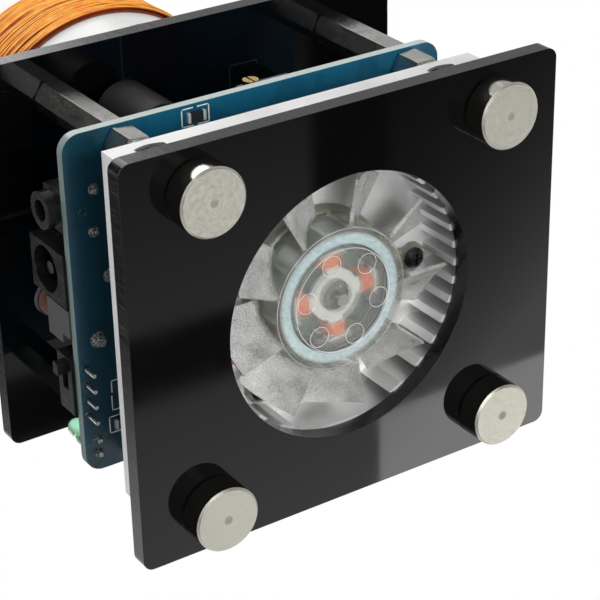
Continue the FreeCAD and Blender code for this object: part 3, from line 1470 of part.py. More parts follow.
def make_former_cap():
    """A cap that plugs the tube and carries the needle."""
    inner = f"({TUBE_BORE} - fit_gap)"
    bore = "(needle_radius + thread_gap)"
    return revolved("former_cap", [
        (bore, f"{TUBE_TOP} - cap_plug"), (inner, f"{TUBE_TOP} - cap_plug"), (inner, TUBE_TOP),
        ("tube_radius", TUBE_TOP), ("tube_radius", f"{TUBE_TOP} + cap_rim - cap_edge"),
        ("tube_radius - cap_edge", f"{TUBE_TOP} + cap_rim"), (bore, f"{TUBE_TOP} + cap_rim")])


def make_needle():
    """A threaded brass pin that ends in a fine point."""
    top = f"({TUBE_TOP} + cap_rim + needle_length)"
    return revolved("discharge_needle", [
        ("0", f"{TUBE_TOP} + cap_rim - needle_foot"),
        ("needle_radius", f"{TUBE_TOP} + cap_rim - needle_foot"),
        ("needle_radius", f"{top} - needle_point"), ("needle_tip_radius", top), ("0", top)])


def make_needle_nut():
    across = "hex_across_flats / cos(30)"
    prism = doc.addObject("Part::Prism", "nut_hex")
    prism.Polygon = 6
    bind(prism, Circumradius=f"{across} / 2", Height="needle_nut_height")
    at(prism, z=f"{TUBE_TOP} + cap_rim")
    bore = cylinder("nut_bore", "needle_radius + thread_gap", "needle_nut_height + 2 * overrun",
                    z=f"{TUBE_TOP} + cap_rim - overrun")
    return cut("needle_nut", prism, bore)


nodes = [
    make_bottom_plate(),
    make_top_plate(),
    make_feet(),
    make_corner_studs(),
    make_heat_sink(),
    make_lower_standoffs(),
    make_upper_standoffs(),
    make_top_screws(),
    make_fan_impeller(),
    make_fan_shaft(),
    make_rotor_yoke(),
    make_rotor_magnet(),
    make_stator_core(),
    make_stator_insulator(),
    make_stator_coils(),
    make_fan_circuit(),
    make_fan_base(),
    make_fan_bush(),
    make_fan_screws(),
    make_fan_lead("fan_lead_red", -1),
    make_fan_lead("fan_lead_black", 1),
    make_audio_jack(),
    make_audio_contacts(),
    make_dc_jack(),
    make_dc_pin(),
    make_dc_contacts(),
    make_lamp(),
    make_lamp_legs(),
    make_switch_body(),
    make_switch_lever(),
    make_switch_pins(),
    make_choke_core(),
    make_choke_winding(),
    make_capacitor_can(),
    make_capacitor_sleeve(),
    make_capacitor_seal(),
    make_capacitor_leads(),
    make_trimmer_body(),
    make_trimmer_screw(),
    make_film_capacitors(),
    make_film_leads(),
    make_chip_bodies(),
    make_chip_ends(),
    make_insulating_pad(),
    make_power_transistor(),
    make_power_screw(),
    make_secondary_winding(),
    make_primary_winding(),
    make_coil_former(),
    make_base_ring(),
    make_base_ring_screws(),
    make_former_cap(),
    make_needle(),
    make_needle_nut(),
]
nodes.append(group("solder_joints", lower_joints))
nodes.append(make_circuit_board())
doc.recompute()

for item in doc.Objects:
    if "Invalid" in item.State or "Error" in item.State:
        raise RuntimeError(f"{item.Name} did not recompute: {item.State}")

os.makedirs("parts", exist_ok=True)
for item in nodes:
    item.Label = item.Name
    shape = item.Shape
    if shape.isNull() or not shape.isValid() or not shape.Solids:
        raise RuntimeError(f"{item.Name} has no valid solid")
    shape.exportStep(f"parts/{item.Name}.step")
    box_now = shape.BoundBox
    print(f"{item.Name}: {len(shape.Solids)} solids, {shape.Volume:.1f} mm3, "
          f"z {box_now.ZMin:.2f} to {box_now.ZMax:.2f}")
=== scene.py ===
"""Looks of the desktop resonant transformer: materials, wound wire, board print, light and camera.

Shapes are given in millimetres in the CAD's frame, the lamps and the camera in metres.
"""

import math

import bmesh
import bpy
from mathutils import Matrix, Vector, noise

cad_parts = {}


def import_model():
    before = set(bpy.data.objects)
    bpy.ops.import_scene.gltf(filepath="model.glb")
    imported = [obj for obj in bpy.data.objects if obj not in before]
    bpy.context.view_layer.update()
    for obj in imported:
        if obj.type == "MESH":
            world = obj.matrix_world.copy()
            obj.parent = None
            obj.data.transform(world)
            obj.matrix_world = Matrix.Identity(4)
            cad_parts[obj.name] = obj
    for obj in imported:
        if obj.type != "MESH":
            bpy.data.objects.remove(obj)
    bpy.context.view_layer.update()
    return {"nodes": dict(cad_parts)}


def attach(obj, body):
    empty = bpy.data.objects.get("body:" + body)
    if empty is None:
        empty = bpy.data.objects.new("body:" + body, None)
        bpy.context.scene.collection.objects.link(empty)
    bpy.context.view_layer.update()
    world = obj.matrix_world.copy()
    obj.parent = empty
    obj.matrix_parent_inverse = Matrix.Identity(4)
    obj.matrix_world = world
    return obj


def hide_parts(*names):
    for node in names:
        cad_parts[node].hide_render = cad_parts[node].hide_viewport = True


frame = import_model()
nodes = frame["nodes"]

MM = 0.001
TURN = 2 * math.pi
POST_AXIS = 26.5  # of the feet and posts, from the middle along X and along Y
LEAD_AXIS = 13.0  # from the middle of the tube to the leads inside it
LEAD_END = 28.75  # just above the board's upper face
TUBE_RING = 96  # steps round the tube


# ---------------------------------------------------------------- node helpers


class Term:
    """The output of a node; arithmetic on it makes Math nodes."""

    def __init__(self, net, socket):
        self.net = net
        self.socket = socket

    def __add__(self, other):
        return self.net.math("ADD", self, other)

    def __sub__(self, other):
        return self.net.math("SUBTRACT", self, other)

    def __rsub__(self, other):
        return self.net.math("SUBTRACT", other, self)

    def __mul__(self, other):
        return self.net.math("MULTIPLY", self, other)

    def __truediv__(self, other):
        return self.net.math("DIVIDE", self, other)

    def __abs__(self):
        return self.net.math("ABSOLUTE", self)


class Net:
    """A node tree, and short ways to make and join its nodes."""

    def __init__(self, tree):
        self.tree = tree

    def node(self, kind, **props):
        made = self.tree.nodes.new(kind)
        for key, choice in props.items():
            setattr(made, key, choice)
        return made

    def out(self, node, key=0):
        return Term(self, node.outputs[key])

    def feed(self, socket, source):
        """Links a term to the socket, or else sets the socket's own value."""
        if isinstance(source, Term):
            self.tree.links.new(source.socket, socket)
        else:
            socket.default_value = source

    def math(self, operation, a, b=0.0):
        made = self.node("ShaderNodeMath", operation=operation)
        for socket, source in zip(made.inputs, (a, b)):
            self.feed(socket, source)
        return self.out(made)

    def band(self, source, low, high, out_low=0.0, out_high=1.0, **props):
        """Maps low to out_low and high to out_high, and goes no further."""
        made = self.node("ShaderNodeMapRange", clamp=True, **props)
        for key, number in (("Value", source), ("From Min", low), ("From Max", high),
                            ("To Min", out_low), ("To Max", out_high)):
            self.feed(made.inputs[key], number)
        return self.out(made, "Result")

    def mixed(self, factor, a, b):
        """The number a where factor is zero, and b where it is one."""
        return factor * (b - a) + a

    def root_of_squares(self, x, y):
        return self.math("SQRT", x * x + y * y)


class Look(Net):
    """A node material on one Principled shader."""

    def __init__(self, name, color, rough, metal=0.0, **sockets):
        self.mat = bpy.data.materials.new(name)
        self.mat.use_nodes = True
        super().__init__(self.mat.node_tree)
        self.shader = self.tree.nodes["Principled BSDF"]
        self.coord = self.node("ShaderNodeTexCoord")
        self.normal = None
        self.color((*color, 1.0))
        self.rough(rough)
        self.set("Metallic", metal)
        for key, number in sockets.items():
            self.set(key.replace("_", " "), number)

    def set(self, socket, source):
        self.feed(self.shader.inputs[socket], source)

    def color(self, source):
        self.set("Base Color", source)

    def rough(self, source):
        self.set("Roughness", source)

    def texture(self, kind, size, scale=(1, 1, 1)):
        """A texture node with features of about size millimetres, stretched by scale."""
        place = self.node("ShaderNodeMapping")
        place.inputs["Scale"].default_value = [s / MM for s in scale]
        self.feed(place.inputs["Vector"], self.out(self.coord, "Object"))
        made = self.node(kind)
        made.inputs["Scale"].default_value = 1.0 / size
        self.feed(made.inputs["Vector"], self.out(place))
        return made

    def noise(self, size, detail=2.0, scale=(1, 1, 1), rough=0.5):
        made = self.texture("ShaderNodeTexNoise", size, scale)
        made.inputs["Detail"].default_value = detail
        made.inputs["Roughness"].default_value = rough
        return self.out(made, "Fac")

    def cells(self, size):
        return self.out(self.texture("ShaderNodeTexVoronoi", size), "Distance")

    def wave(self, source, period):
        """A sine of a length, with that period in millimetres."""
        return self.math("SINE", source * (TURN / period))

    def axis(self, number):
        """One object coordinate in millimetres."""
        made = self.node("ShaderNodeSeparateXYZ")
        self.feed(made.inputs[0], self.out(self.coord, "Object"))
        return self.out(made, number) * (1 / MM)

    def facing(self, number, low, high):
        """Zero to one as the face's normal turns from low to high along one axis, either way."""
        made = self.node("ShaderNodeSeparateXYZ")
        self.feed(made.inputs[0], self.out(self.coord, "Normal"))
        return self.band(abs(self.out(made, number)), low, high)

    def upright(self):
        """One on faces that stand upright, zero on level ones."""
        return self.facing(2, 0.7, 0.3)

    def radius(self, post=0.0):
        """Distance in millimetres from the tube's axis, or from the post's where post is given."""
        return self.root_of_squares(abs(self.axis(0)) - post, abs(self.axis(1)) - post)

    def blend(self, factor, a, b):
        """The color a where factor is zero, and b where it is one."""
        made = self.node("ShaderNodeMix", data_type="RGBA")
        for slot, source in ((0, factor), (6, a), (7, b)):
            self.feed(made.inputs[slot], (*source, 1.0) if isinstance(source, tuple) else source)
        return self.out(made, 2)

    def relief(self, made):
        """Puts a Bevel or Bump node last in the chain that bends the shader's normal."""
        self.normal = self.out(made, "Normal")
        self.set("Normal", self.normal)

    def round_edges(self, size):
        """Lets sharp edges catch light as a bevel of size millimetres would."""
        made = self.node("ShaderNodeBevel", samples=4)
        made.inputs["Radius"].default_value = size * MM
        self.relief(made)

    def bump(self, source, depth):
        """Adds relief depth millimetres deep."""
        made = self.node("ShaderNodeBump")
        made.inputs["Strength"].default_value = 1.0
        made.inputs["Distance"].default_value = depth * MM
        self.feed(made.inputs["Height"], source)
        if self.normal:
            self.feed(made.inputs["Normal"], self.normal)
        self.relief(made)


# ---------------------------------------------------------------- materials

LOOKS = {}


def look(name, color, rough, metal=0.0, **sockets):
    LOOKS[name] = Look(name, color, rough, metal, **sockets)
    return LOOKS[name]


def acrylic():
    """Polished faces with a little dust, and cut edges with fine upright lines."""
    m = look("acrylic_black", (0.0014, 0.0014, 0.0016), 0.03, IOR=1.49)
    m.round_edges(0.12)
    side = m.upright()
    streak = m.noise(0.16, 3.0, (1.0, 1.0, 0.04), 0.75)
    lines = m.band(streak, 0.42, 0.68) * m.band(m.noise(4.0, 2.0), 0.40, 0.62)
    cut = m.blend(lines, (0.001, 0.001, 0.001), (0.012, 0.012, 0.0115))
    dust = m.band(m.cells(2.6), 0.028, 0.018) * m.band(m.noise(3.1, 1.0), 0.60, 0.66)
    level = m.blend(dust, (0.0014, 0.0014, 0.0016), (0.10, 0.10, 0.095))
    m.color(m.blend(side, level, cut))
    smear = m.band(m.noise(14.0, 4.0, rough=0.65), 0.45, 0.75, 0.03, 0.06)
    m.rough(m.mixed(side, smear, m.band(streak, 0.35, 0.7, 0.10, 0.30)))
    m.bump(streak * side, 0.006)


def turned_feet():
    """End faces with the rings of the lathe, and a rough dimple in the middle, darkened with
    painted shade.
    """
    m = look("nickel_feet", (0.64, 0.62, 0.54), 0.22, 1.0)
    radius = m.radius(POST_AXIS)
    drifting = radius + m.noise(1.7, 2.0) * 0.35
    rings = m.wave(drifting, 0.42) + m.wave(drifting, 0.17) * 0.6
    face = m.facing(2, 0.05, 0.35)
    m.bump(rings * face, 0.0012)
    m.bump(m.noise(0.5, 3.0), 0.002)
    speck = m.noise(0.8, 3.0) + m.noise(0.2, 2.0, rough=0.7)
    turned = m.blend(m.band(rings + speck * 2.2, 0.0, 4.0), (0.44, 0.43, 0.365), (0.56, 0.55, 0.48))
    # Painted shade: the dimple in the middle gets a darker colour.
    m.color(m.blend(m.band(radius, 0.9, 0.7), turned, (0.40, 0.39, 0.335)))
    satin = m.band(m.noise(0.9, 3.0), 0.3, 0.7, 0.34, 0.46)
    m.rough(m.mixed(face, 0.13, m.mixed(m.band(radius, 0.9, 0.6), satin, 0.95)))


def nickel():
    """Plated bar with dull patches and bright specks."""
    m = look("nickel_posts", (0.55, 0.54, 0.51), 0.2, 1.0)
    m.round_edges(0.12)
    patch = m.noise(4.0, 2.0, rough=0.6)
    speck = m.band(m.noise(0.22, 2.0, rough=0.8), 0.56, 0.68)
    plain = m.blend(m.band(patch, 0.38, 0.66), (0.38, 0.38, 0.365), (0.55, 0.54, 0.515))
    m.color(m.blend(speck * 0.7, plain, (0.75, 0.74, 0.72)))
    m.rough(m.band(patch, 0.3, 0.75, 0.26, 0.14))
    m.bump(m.noise(0.4, 3.0, (1.0, 1.0, 0.3), 0.7), 0.006)
    m.bump(speck, 0.006)


def steel(name, color, rough, size=0.4, depth=0.006, metal=1.0):
    """Any plain metal, with grain of that size and depth."""
    m = look(name, color, rough, metal)
    grain = m.noise(size, 4.0, (1.0, 1.0, 0.6), 0.65)
    m.color(m.blend(m.band(grain, 0.35, 0.7), tuple(c * 0.78 for c in color), color))
    m.rough(m.band(m.noise(size * 4, 3.0), 0.3, 0.7, rough * 0.75, rough * 1.35))
    m.bump(grain, depth)


def heat_sink():
    """Satin, with the finest sparkle where it was blasted."""
    m = look("aluminium_sink", (0.82, 0.82, 0.815), 0.45, 1.0)
    m.round_edges(0.1)
    lines = m.noise(0.14, 3.0, (0.05, 1.0, 1.0), 0.6)
    grain = m.noise(0.11, 2.0, rough=0.7)
    tone = m.noise(9.0, 2.0) * 0.35 + grain * 0.65
    m.color(m.blend(m.band(tone, 0.36, 0.64), (0.68, 0.68, 0.675), (0.90, 0.90, 0.895)))
    m.rough(m.band(lines, 0.3, 0.7, 0.48, 0.64))
    m.bump(grain, 0.012)
    m.bump(lines, 0.004)


def board():
    """Blue solder mask over copper pours, with painted shade on the underside behind the jacks, and
    pale sawn edges.
    """
    m = look("solder_mask", (0.003, 0.08, 0.15), 0.24, IOR=1.52)
    side = m.upright()
    x, y = m.axis(0), m.axis(1)
    pour = m.band(m.noise(7.0, 1.0), 0.47, 0.5)
    mask = m.blend(pour, (0.0012, 0.078, 0.142), (0.0018, 0.094, 0.170))
    # Painted shade: a dark band on the underside, between the edge strip and the heat sink.
    dark = m.band(x, -37.6, -35.6) * m.band(x, -24.0, -31.0) * 0.75
    mask = m.blend(dark, mask, (0.0008, 0.014, 0.020))
    fleck = m.noise(0.22, 3.0)
    cool = m.blend(fleck, (0.10, 0.15, 0.15), (0.22, 0.28, 0.26))
    pale = m.blend(fleck, (0.30, 0.36, 0.35), (0.50, 0.56, 0.53))
    m.color(m.blend(side, mask, m.blend(m.facing(0, 0.4, 0.6), pale, cool)))
    m.rough(m.mixed(side, 0.24, 0.75))
    m.bump(pour + m.wave(x, 0.9) * m.wave(y, 0.9) * 0.12, 0.02)
    m.bump(m.noise(0.18, 2.0) * side, 0.05)


def impeller():
    """A clear hub, and blades with a satin skin that lets some light through."""
    m = look("fan_moulding", (0.95, 0.95, 0.94), 0.04, 0.0, IOR=1.47)
    m.round_edges(0.1)
    fog = m.noise(3.0, 3.0)
    blade = m.band(m.radius() + fog * 0.8, 12.5, 13.9)
    grain = m.noise(0.14, 2.0, rough=0.8)
    skin = m.blend(m.band(grain + fog * 0.3, 0.48, 0.82), (0.15, 0.15, 0.145), (0.74, 0.74, 0.73))
    m.color(m.blend(blade, (0.78, 0.81, 0.75), skin))
    m.rough(m.mixed(blade, 0.12, m.band(fog, 0.3, 0.7, 0.26, 0.42)))
    m.set("Transmission Weight", m.mixed(blade, 0.88, 0.3))
    m.set("Alpha", m.mixed(blade, 0.42, 0.96))
    m.bump(grain * blade, 0.04)


def ring_film():
    """The steel cup, whose pale blue film ends raggedly near the edges of its face."""
    m = look("zinc_blue_ring", (0.5, 0.62, 0.68), 0.34, 0.35)
    ragged = m.radius() + m.noise(0.5, 4.0, rough=0.7) * 0.9
    face = m.band(ragged, 9.45, 9.6) * m.band(ragged, 11.0, 11.2, 1.0, 0.0)
    film = m.blend(m.band(m.noise(0.7, 4.0, rough=0.75), 0.35, 0.65), (0.30, 0.43, 0.50),
                   (0.60, 0.73, 0.79))
    m.color(m.blend(face, (0.30, 0.31, 0.30), film))
    m.bump(m.noise(0.3, 3.0), 0.01)


def clear(name, color, rough, dense, alpha=1.0):
    """Clear or tinted moulded plastic with flow marks."""
    m = look(name, color, rough, 0.0, IOR=1.45, Transmission_Weight=dense, Alpha=alpha)
    m.round_edges(0.1)
    flow = m.noise(1.5, 3.0, (1.0, 1.0, 0.5), 0.6)
    m.color(m.blend(m.band(flow, 0.3, 0.7), tuple(c * 0.86 for c in color), color))
    m.rough(m.band(flow, 0.3, 0.7, rough * 0.6, rough * 1.5))
    m.bump(flow, 0.012)


def plastic(name, color, rough, grain=0.12, depth=0.006, light=1.6, **sockets):
    """Moulded plastic with a fine grain, and with tones up to light times the color."""
    m = look(name, color, rough, 0.0, **sockets)
    m.round_edges(0.12)
    broad = m.noise(grain * 18, 4.0, rough=0.6)
    pale = tuple(min(1.0, c * light + 0.002) for c in color)
    m.color(m.blend(m.band(broad, 0.35, 0.75), color, pale))
    m.rough(m.band(broad, 0.3, 0.75, rough * 0.8, min(1.0, rough * 1.25)))
    m.bump(m.noise(grain, 3.0, rough=0.6), depth)


def enamel(name, color, deep, rough=0.3):
    """Enamelled copper wire."""
    m = look(name, color, rough, 0.0, IOR=1.38)
    tone = m.noise(1.6, 4.0, rough=0.65) + m.noise(0.35, 3.0) * 0.4
    m.color(m.blend(m.band(tone, 0.5, 0.95), deep, color))
    m.bump(m.noise(0.4, 3.0), 0.02)


def coil_enamel():
    """Orange on the crests of the turns, and deep red painted shade in the grooves between them."""
    m = look("enamel_orange", (1.0, 0.44, 0.045), 0.34, IOR=1.38)
    tone = m.band(m.noise(1.8, 4.0, rough=0.65), 0.3, 0.7)
    crest = m.blend(tone, (0.92, 0.27, 0.02), (1.0, 0.50, 0.06))
    # Painted shade: turns darken to deep red towards the tube, in the grooves between them.
    m.color(m.blend(m.band(m.radius(), 25.78, 25.95), (0.33, 0.04, 0.003), crest))
    m.bump(m.noise(0.3, 3.0, rough=0.6), 0.015)


def solder():
    """Bright metal under dark scraps of flux."""
    m = look("solder_alloy", (0.5, 0.5, 0.49), 0.26, 1.0)
    skin = m.noise(0.4, 4.0, rough=0.75)
    m.color(m.blend(m.band(skin, 0.44, 0.66), (0.05, 0.055, 0.055), (0.62, 0.62, 0.60)))
    m.rough(m.band(skin, 0.3, 0.7, 0.34, 0.14))
    m.bump(skin, 0.2)


acrylic()
turned_feet()
nickel()
heat_sink()
board()
solder()
steel("zinc_screws", (0.66, 0.66, 0.67), 0.24)
impeller()
ring_film()
steel("ground_shaft", (0.36, 0.36, 0.34), 0.42, 0.3)
steel("stacked_sheet", (0.34, 0.34, 0.35), 0.4, 0.3)
steel("tin_plate", (0.72, 0.72, 0.70), 0.2, 0.35)
steel("brass_turned", (0.80, 0.55, 0.20), 0.2, 0.35)
steel("bronze_sintered", (0.09, 0.085, 0.06), 0.5, 0.15, 0.02)
steel("can_drawn", (0.80, 0.80, 0.80), 0.22, 0.5)
steel("black_oxide", (0.05, 0.05, 0.052), 0.3, 0.3, 0.01, 0.85)
clear("base_green_clear", (0.84, 0.89, 0.70), 0.08, 0.85, alpha=0.55)
clear("lamp_mint_resin", (0.48, 0.97, 0.66), 0.3, 0.92)
plastic("jack_black", (0.0045, 0.0045, 0.0047), 0.26, depth=0.003, IOR=1.35)
# Painted shade: the DC jack's pin gets a dark colour, as it sits deep in the jack's hollow.
steel("pin_painted_shade", (0.10, 0.10, 0.095), 0.3)
plastic("trimmer_case", (0.02, 0.03, 0.06), 0.35)
plastic("magnet_black", (0.03, 0.03, 0.03), 0.6)
plastic("ferrite_black", (0.025, 0.025, 0.028), 0.5, 0.2, 0.03)
plastic("sleeve_film", (0.003, 0.003, 0.0033), 0.5, 0.5, 0.01, 1.3, IOR=1.25)
plastic("seal_rubber_black", (0.02, 0.02, 0.02), 0.65)
plastic("film_case", (0.012, 0.012, 0.013), 0.3)
plastic("chip_glaze", (0.012, 0.012, 0.013), 0.25)
plastic("chip_ends", (0.62, 0.62, 0.60), 0.35, 0.2, 0.02, 1.1, Metallic=0.3)
plastic("pad_silicone", (0.42, 0.42, 0.44), 0.6)
plastic("nylon_white", (0.66, 0.66, 0.64), 0.3, 0.3, 0.004, 1.03)
plastic("insulator_white", (0.56, 0.57, 0.54), 0.4, 0.3, 0.004, 1.03)
plastic("tube_gloss_white", (0.66, 0.66, 0.655), 0.3, 0.8, 0.006, 1.03)
plastic("circuit_green", (0.05, 0.09, 0.075), 0.45)
plastic("lead_red", (0.55, 0.012, 0.01), 0.4, 0.2, 0.004, 1.2)
plastic("lead_black", (0.012, 0.012, 0.012), 0.4, 0.2, 0.004)
plastic("board_ink", (0.80, 0.81, 0.80), 0.5, 0.08, 0.01, 1.05)
# Used for the board's printed pad rings, and as painted highlight on the clear hub's raised rings.
plastic("print_and_highlight_white", (0.62, 0.62, 0.60), 0.3, 0.2, 0.002, 1.02)
coil_enamel()
# Painted shade: deep red enamel for the band under the secondary's turns, seen through their gaps.
enamel("enamel_painted_shade", (0.30, 0.05, 0.004), (0.18, 0.025, 0.002), 0.5)
enamel("enamel_copper", (0.88, 0.22, 0.07), (0.60, 0.11, 0.03))
enamel("enamel_dull", (0.15, 0.055, 0.028), (0.06, 0.025, 0.015), 0.4)

WEAR = {
    "acrylic_black": ["bottom_plate", "top_plate"],
    "nickel_feet": ["feet"],
    "nickel_posts": ["lower_standoffs", "upper_standoffs"],
    "zinc_screws": ["corner_studs", "top_screws", "base_ring_screws", "transistor_screw"],
    "aluminium_sink": ["heat_sink"],
    "solder_mask": ["circuit_board"],
    "solder_alloy": ["solder_joints"],
    "fan_moulding": ["fan_impeller"],
    "base_green_clear": ["fan_base"],
    "zinc_blue_ring": ["rotor_yoke"],
    "ground_shaft": ["fan_shaft"],
    "magnet_black": ["rotor_magnet"],
    "stacked_sheet": ["stator_core"],
    "nylon_white": ["former_base_ring", "former_cap"],
    "insulator_white": ["stator_insulator"],
    "chip_ends": ["chip_terminals"],
    "circuit_green": ["fan_circuit"],
    "bronze_sintered": ["fan_bush"],
    "black_oxide": ["fan_base_screws"],
    "lead_red": ["fan_lead_red"],
    "lead_black": ["fan_lead_black"],
    "jack_black": ["audio_jack_body", "dc_jack_body", "switch_body", "switch_lever",
                   "power_transistor"],
    "tin_plate": ["audio_jack_contacts", "dc_jack_contacts", "lamp_legs",
                  "switch_pins", "capacitor_leads", "film_capacitor_leads"],
    # Painted shade on the DC jack's pin.
    "pin_painted_shade": ["dc_jack_pin"],
    "lamp_mint_resin": ["indicator_lamp"],
    "ferrite_black": ["choke_core"],
    "can_drawn": ["capacitor_can"],
    "sleeve_film": ["capacitor_sleeve"],
    "seal_rubber_black": ["capacitor_seal"],
    "trimmer_case": ["trimmer_body"],
    "brass_turned": ["trimmer_screw", "discharge_needle", "needle_nut"],
    "film_case": ["film_capacitors"],
    "chip_glaze": ["chip_resistors"],
    "pad_silicone": ["insulating_pad"],
    "tube_gloss_white": ["coil_former"],
}
for finish, wearers in WEAR.items():
    for word in wearers:
        for holder in nodes[word].material_slots:
            holder.material = LOOKS[finish].mat


# ---------------------------------------------------------------- mesh helpers


def piece(name, mesh, finish, body="frame", smooth=True):
    """A new object from a bmesh in millimetres of the row frame."""
    data = bpy.data.meshes.new(name)
    bmesh.ops.scale(mesh, vec=Vector((MM, MM, MM)), verts=mesh.verts)
    bmesh.ops.recalc_face_normals(mesh, faces=mesh.faces)
    mesh.to_mesh(data)
    mesh.free()
    data.polygons.foreach_set("use_smooth", [smooth] * len(data.polygons))
    made = bpy.data.objects.new(name, data)
    bpy.context.scene.collection.objects.link(made)
    data.materials.append(LOOKS[finish].mat)
    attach(made, body)
    return made


def polar(radius, angle, z):
    return Vector((radius * math.cos(angle), radius * math.sin(angle), z))


def circle(centre, radius, steps):
    """Points round a level circle."""
    return [centre + polar(radius, TURN * k / steps, 0.0) for k in range(steps)]


def skin(mesh, loops, closed=False):
    """Joins each loop of points to the next, and caps both ends or closes the chain."""
    rings = [[mesh.verts.new(p) for p in loop] for loop in loops]
    for one, two in zip(rings, rings[1:] + rings[:1] if closed else rings[1:]):
        for face in zip(one, one[1:] + one[:1], two[1:] + two[:1], two):
            mesh.faces.new(face)
    if not closed:
        mesh.faces.new(rings[0][::-1])
        mesh.faces.new(rings[-1])
    return mesh


def sweep(mesh, points, radius, sides=10, closed=False):
    """Adds a round tube along points."""
    count = len(points)
    loops = []
    side = None
    for i, p in enumerate(points):
        a = points[i - 1] if i or closed else p
        b = points[(i + 1) % count] if i < count - 1 or closed else p
        way = (b - a).normalized()
        if side is None:
            side = way.orthogonal().normalized()
        side = (side - way * side.dot(way)).normalized()
        other = way.cross(side)
        loops.append([p + (side * math.cos(t) + other * math.sin(t)) * radius
                      for t in (TURN * k / sides for k in range(sides))])
    return skin(mesh, loops, closed)


def arc(a, corner, b, bend, steps=6):
    """A run from a to b with a rounded corner."""
    u, v = (a - corner).normalized(), (b - corner).normalized()
    half = u.angle(v) / 2
    back = bend / math.tan(half)
    centre = corner + (u + v).normalized() * (bend / math.sin(half))
    one, two = corner + u * back - centre, corner + v * back - centre
    axis = one.cross(two).normalized()
    turn = one.angle(two)
    return [centre + Matrix.Rotation(turn * k / steps, 3, axis) @ one for k in range(steps + 1)]


def lead_run(turns, level, bend):
    """From the first of the turns' points in through the wall and straight to level."""
    foot = turns[0]
    inward = Vector((-foot.x, -foot.y, 0)).normalized()
    one = foot + (foot - turns[1]).normalized() * bend
    two = one + inward * (math.hypot(foot.x, foot.y) - LEAD_AXIS)
    end = Vector((two.x, two.y, level))
    return arc(foot, one, two, bend) + arc(one, two, end, bend) + [end]


def whole_wire(turns, bend, upper_end):
    """A winding's turns with both of its ends, which run up or down inside the tube."""
    low = lead_run(turns, LEAD_END, bend)
    high = lead_run(turns[::-1], upper_end, bend)
    return low[::-1] + turns[1:-1] + high


# ---------------------------------------------------------------- windings


def secondary():
    """Thirteen slightly uneven turns of a pair of wires, and the two ends inside the tube."""
    turns, pitch, start, first, per_turn = 13, 1.24, 81.9, math.radians(-20.0), 144
    radius, strand, swing = 25.69, 0.25, 0.31

    def spot(step):
        turn = step / per_turn
        angle = first + TURN * turn
        ends = min(1.0, turn / 0.3, (turns - turn) / 0.3)
        sway = noise.noise(polar(1.4, angle, turn * 0.9))
        swell = noise.noise(polar(2.1, angle, 7 + turn * 1.7))
        return polar(radius + (0.05 + 0.12 * abs(swell)) * ends, angle,
                     start + pitch * turn + 0.34 * sway * ends)

    line = whole_wire([spot(i) for i in range(turns * per_turn + 1)], 1.4, 103.9)
    mesh = bmesh.new()
    for first_side in (0.0, math.pi):
        lane, run = [], 0.0
        for i, p in enumerate(line):
            before, after = line[max(i - 1, 0)], line[min(i + 1, len(line) - 1)]
            way = (after - before).normalized()
            out = way.cross(Vector((0, 0, 1))) if abs(way.z) < 0.8 else Vector((1, 0, 0))
            out = (out - way * out.dot(way)).normalized()
            turn = first_side + math.pi / 2 + 1.5 * noise.noise(Vector((run * 0.07, 3.0, 0.0)))
            lane.append(p + (out * math.cos(turn) + way.cross(out) * math.sin(turn)) * swing)
            run += (after - p).length
        sweep(mesh, lane, strand, 8)
    coil = piece("secondary_coil", mesh, "enamel_orange")
    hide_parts("secondary_winding")
    # Painted shade: a dark red band just under the turns, which shows in the gaps between them.
    top = start + 16.0
    section = ((25.04, start), (25.12, start - 0.1), (25.26, start), (25.26, top),
               (25.12, top + 0.1), (25.04, top))
    loops = [[polar(r, TURN * i / TUBE_RING, z) for r, z in section] for i in range(TUBE_RING)]
    piece("secondary_shade_layer", skin(bmesh.new(), loops, True), "enamel_painted_shade")


def primary():
    """Four turns of insulated wire low on the tube."""
    turns, pitch, start, first = 4, 2.6, 59.1, math.radians(90.0)
    helix = [polar(26.3, first + TURN * i / TUBE_RING, start + pitch * i / TUBE_RING)
             for i in range(turns * TUBE_RING + 1)]
    mesh = sweep(bmesh.new(), whole_wire(helix, 2.6, LEAD_END), 1.0, 14)
    coil = piece("primary_coil", mesh, "lead_black")
    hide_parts("primary_winding")


def fan_coils():
    """Fine copper turns on the four poles, in three layers."""
    pitch, start, middle, per_turn = 0.26, 4.95, 11.35, 20
    mesh = bmesh.new()
    for pole in range(4):
        out = polar(1.0, math.radians(-4.0 + 90.0 * pole), 0.0)
        side = Vector((-out.y, out.x, 0))
        up = Vector((0, 0, 1))
        points = []
        for layer, reach in enumerate((1.55, 1.78, 2.0)):
            count = 9 - layer
            for i in range(count * per_turn):
                t = i / per_turn
                along = start + (t if layer % 2 == 0 else count - t) * pitch
                points.append(out * along + side * (reach * math.cos(TURN * t)) +
                              up * (reach * math.sin(TURN * t) + middle))
        sweep(mesh, points, 0.125, 6)
    coil = piece("fan_coil_wire", mesh, "enamel_copper")
    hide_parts("stator_coils")


def choke_wire():
    """The choke's nine copper turns, over the inner layer between its flanges."""
    turns, pitch, start, per_turn = 9, 0.42, 36.2, 32
    middle = Vector((-33.4, 3.2, 0.0))
    points = [middle + polar(2.62, TURN * i / per_turn, start + pitch * i / per_turn)
              for i in range(turns * per_turn + 1)]
    mesh = sweep(bmesh.new(), points, 0.2, 8)
    bmesh.ops.create_cone(mesh, cap_ends=True, segments=40, radius1=2.5, radius2=2.5, depth=3.9,
                          matrix=Matrix.Translation((middle.x, middle.y, 37.95)))
    coil = piece("choke_wire", mesh, "enamel_dull")
    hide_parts("choke_winding")


